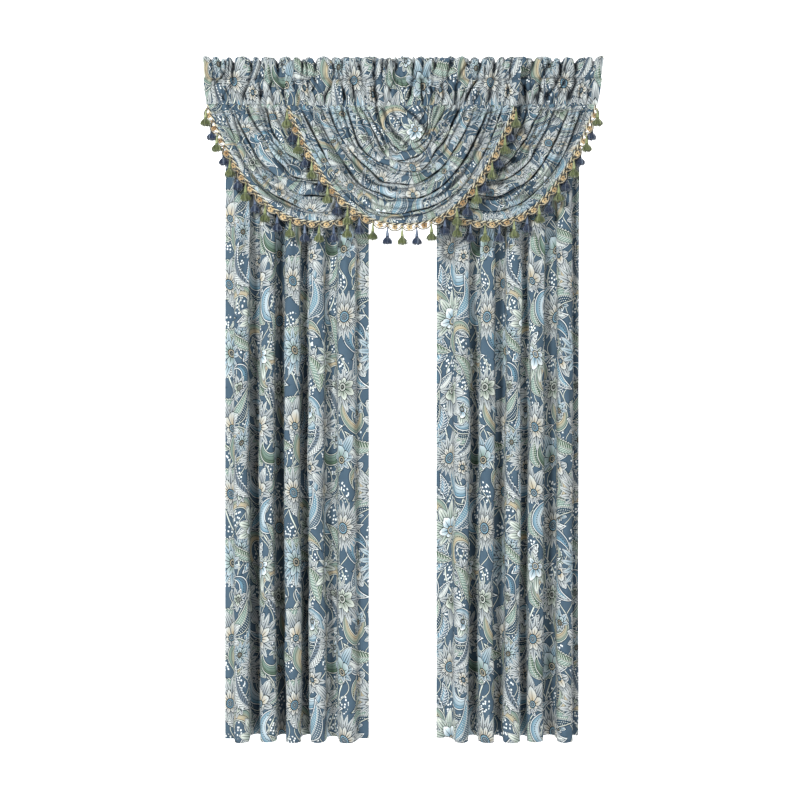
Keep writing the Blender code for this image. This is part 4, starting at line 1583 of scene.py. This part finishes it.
def make_lights():
    world = bpy.data.worlds.new("soft_room")
    world.use_nodes = True
    ground = world.node_tree.nodes["Background"]
    ground.inputs[0].default_value = (1.0, 1.0, 1.0, 1.0)
    ground.inputs[1].default_value = 0.06
    bpy.context.scene.world = world
    add_light("key", (-2.3, -4.6, 1.2), (0, 0, -1.7), (1.0, 1.0), 298, DAYLIGHT)
    add_light("fill", (1.6, -4.4, -2.0), (0, 0, -1.5), (1.5, 1.5), 70, DAYLIGHT)
    add_light("wall_light", (0, 0.9, 1.6), (0, 3.4, -1.2), (5.0, 1.5), 300)


def make_camera():
    data = bpy.data.cameras.new("camera")
    data.lens = 48.5
    data.sensor_width = 36.0
    camera = show("camera", data)
    camera.location = (-0.011, -3.4, -1.067)
    camera.rotation_euler = (math.pi / 2, 0.0, 0.0)
    bpy.context.scene.camera = camera


def make_long_curtain(name, edge, folds, seed, painted_shade, cloth):
    def place_x(share, down):
        return edge + share * CURTAIN_WIDTH

    sizes = Heading(
        f"{name}_heading", 0.0, 0.0, CURTAIN_WIDTH, CURTAIN_FLAT_WIDTH, seed,
        columns=270, gathered=10.8, painted_shade=0.35,
    )
    make_heading(sizes, place_x, cloth)
    make_curtain(name, edge, folds, seed, painted_shade, cloth)


def make_valance(valance, cloth, yarns):
    def place_x(share, down):
        return heading_x(valance, share, down)

    name = f"{valance.name}_heading"
    sizes = Heading(
        name, valance.rod, valance.top, VALANCE_WIDTH, VALANCE_FLAT_WIDTH, valance.seed,
        columns=350, gathered=1.2, painted_shade=1.0,
    )
    make_heading(sizes, place_x, cloth)
    swag = make_swag(valance, cloth)
    trimmed = make_fringe(valance, yarns)


def main():
    drawing = make_print()
    cloth = [cloth_material("printed_front", drawing, 0.0), cloth_material("printed_back", drawing, 0.62)]
    yarns = [yarn_material(name, srgb(*colour), srgb(*dark)) for name, colour, dark in YARNS]
    make_long_curtain("curtain_left", LEFT_CURTAIN_EDGE, LEFT_FOLDS, seed=15, painted_shade=0.62, cloth=cloth)
    make_long_curtain("curtain_right", RIGHT_CURTAIN_EDGE, RIGHT_FOLDS, seed=13, painted_shade=0.46, cloth=cloth)
    side = SIDE_VALANCE_EDGE - VALANCE_WIDTH / 2
    for valance in (
        Valance("valance_left", -side, SIDE_ROD, -SIDE_ROD_DROP, squeezed=1, seed=21),
        Valance("valance_right", side, SIDE_ROD, -SIDE_ROD_DROP, squeezed=-1, seed=31),
        Valance("valance_middle", 0.0, MIDDLE_ROD, -MIDDLE_ROD_DROP, squeezed=0, seed=43),
    ):
        make_valance(valance, cloth, yarns)
    make_stage()
    make_lights()
    make_camera()
    bpy.context.scene.view_settings.view_transform = "Standard"
    bpy.context.scene.cycles.diffuse_bounces = 2
    bpy.context.scene.cycles.max_bounces = 4


main()
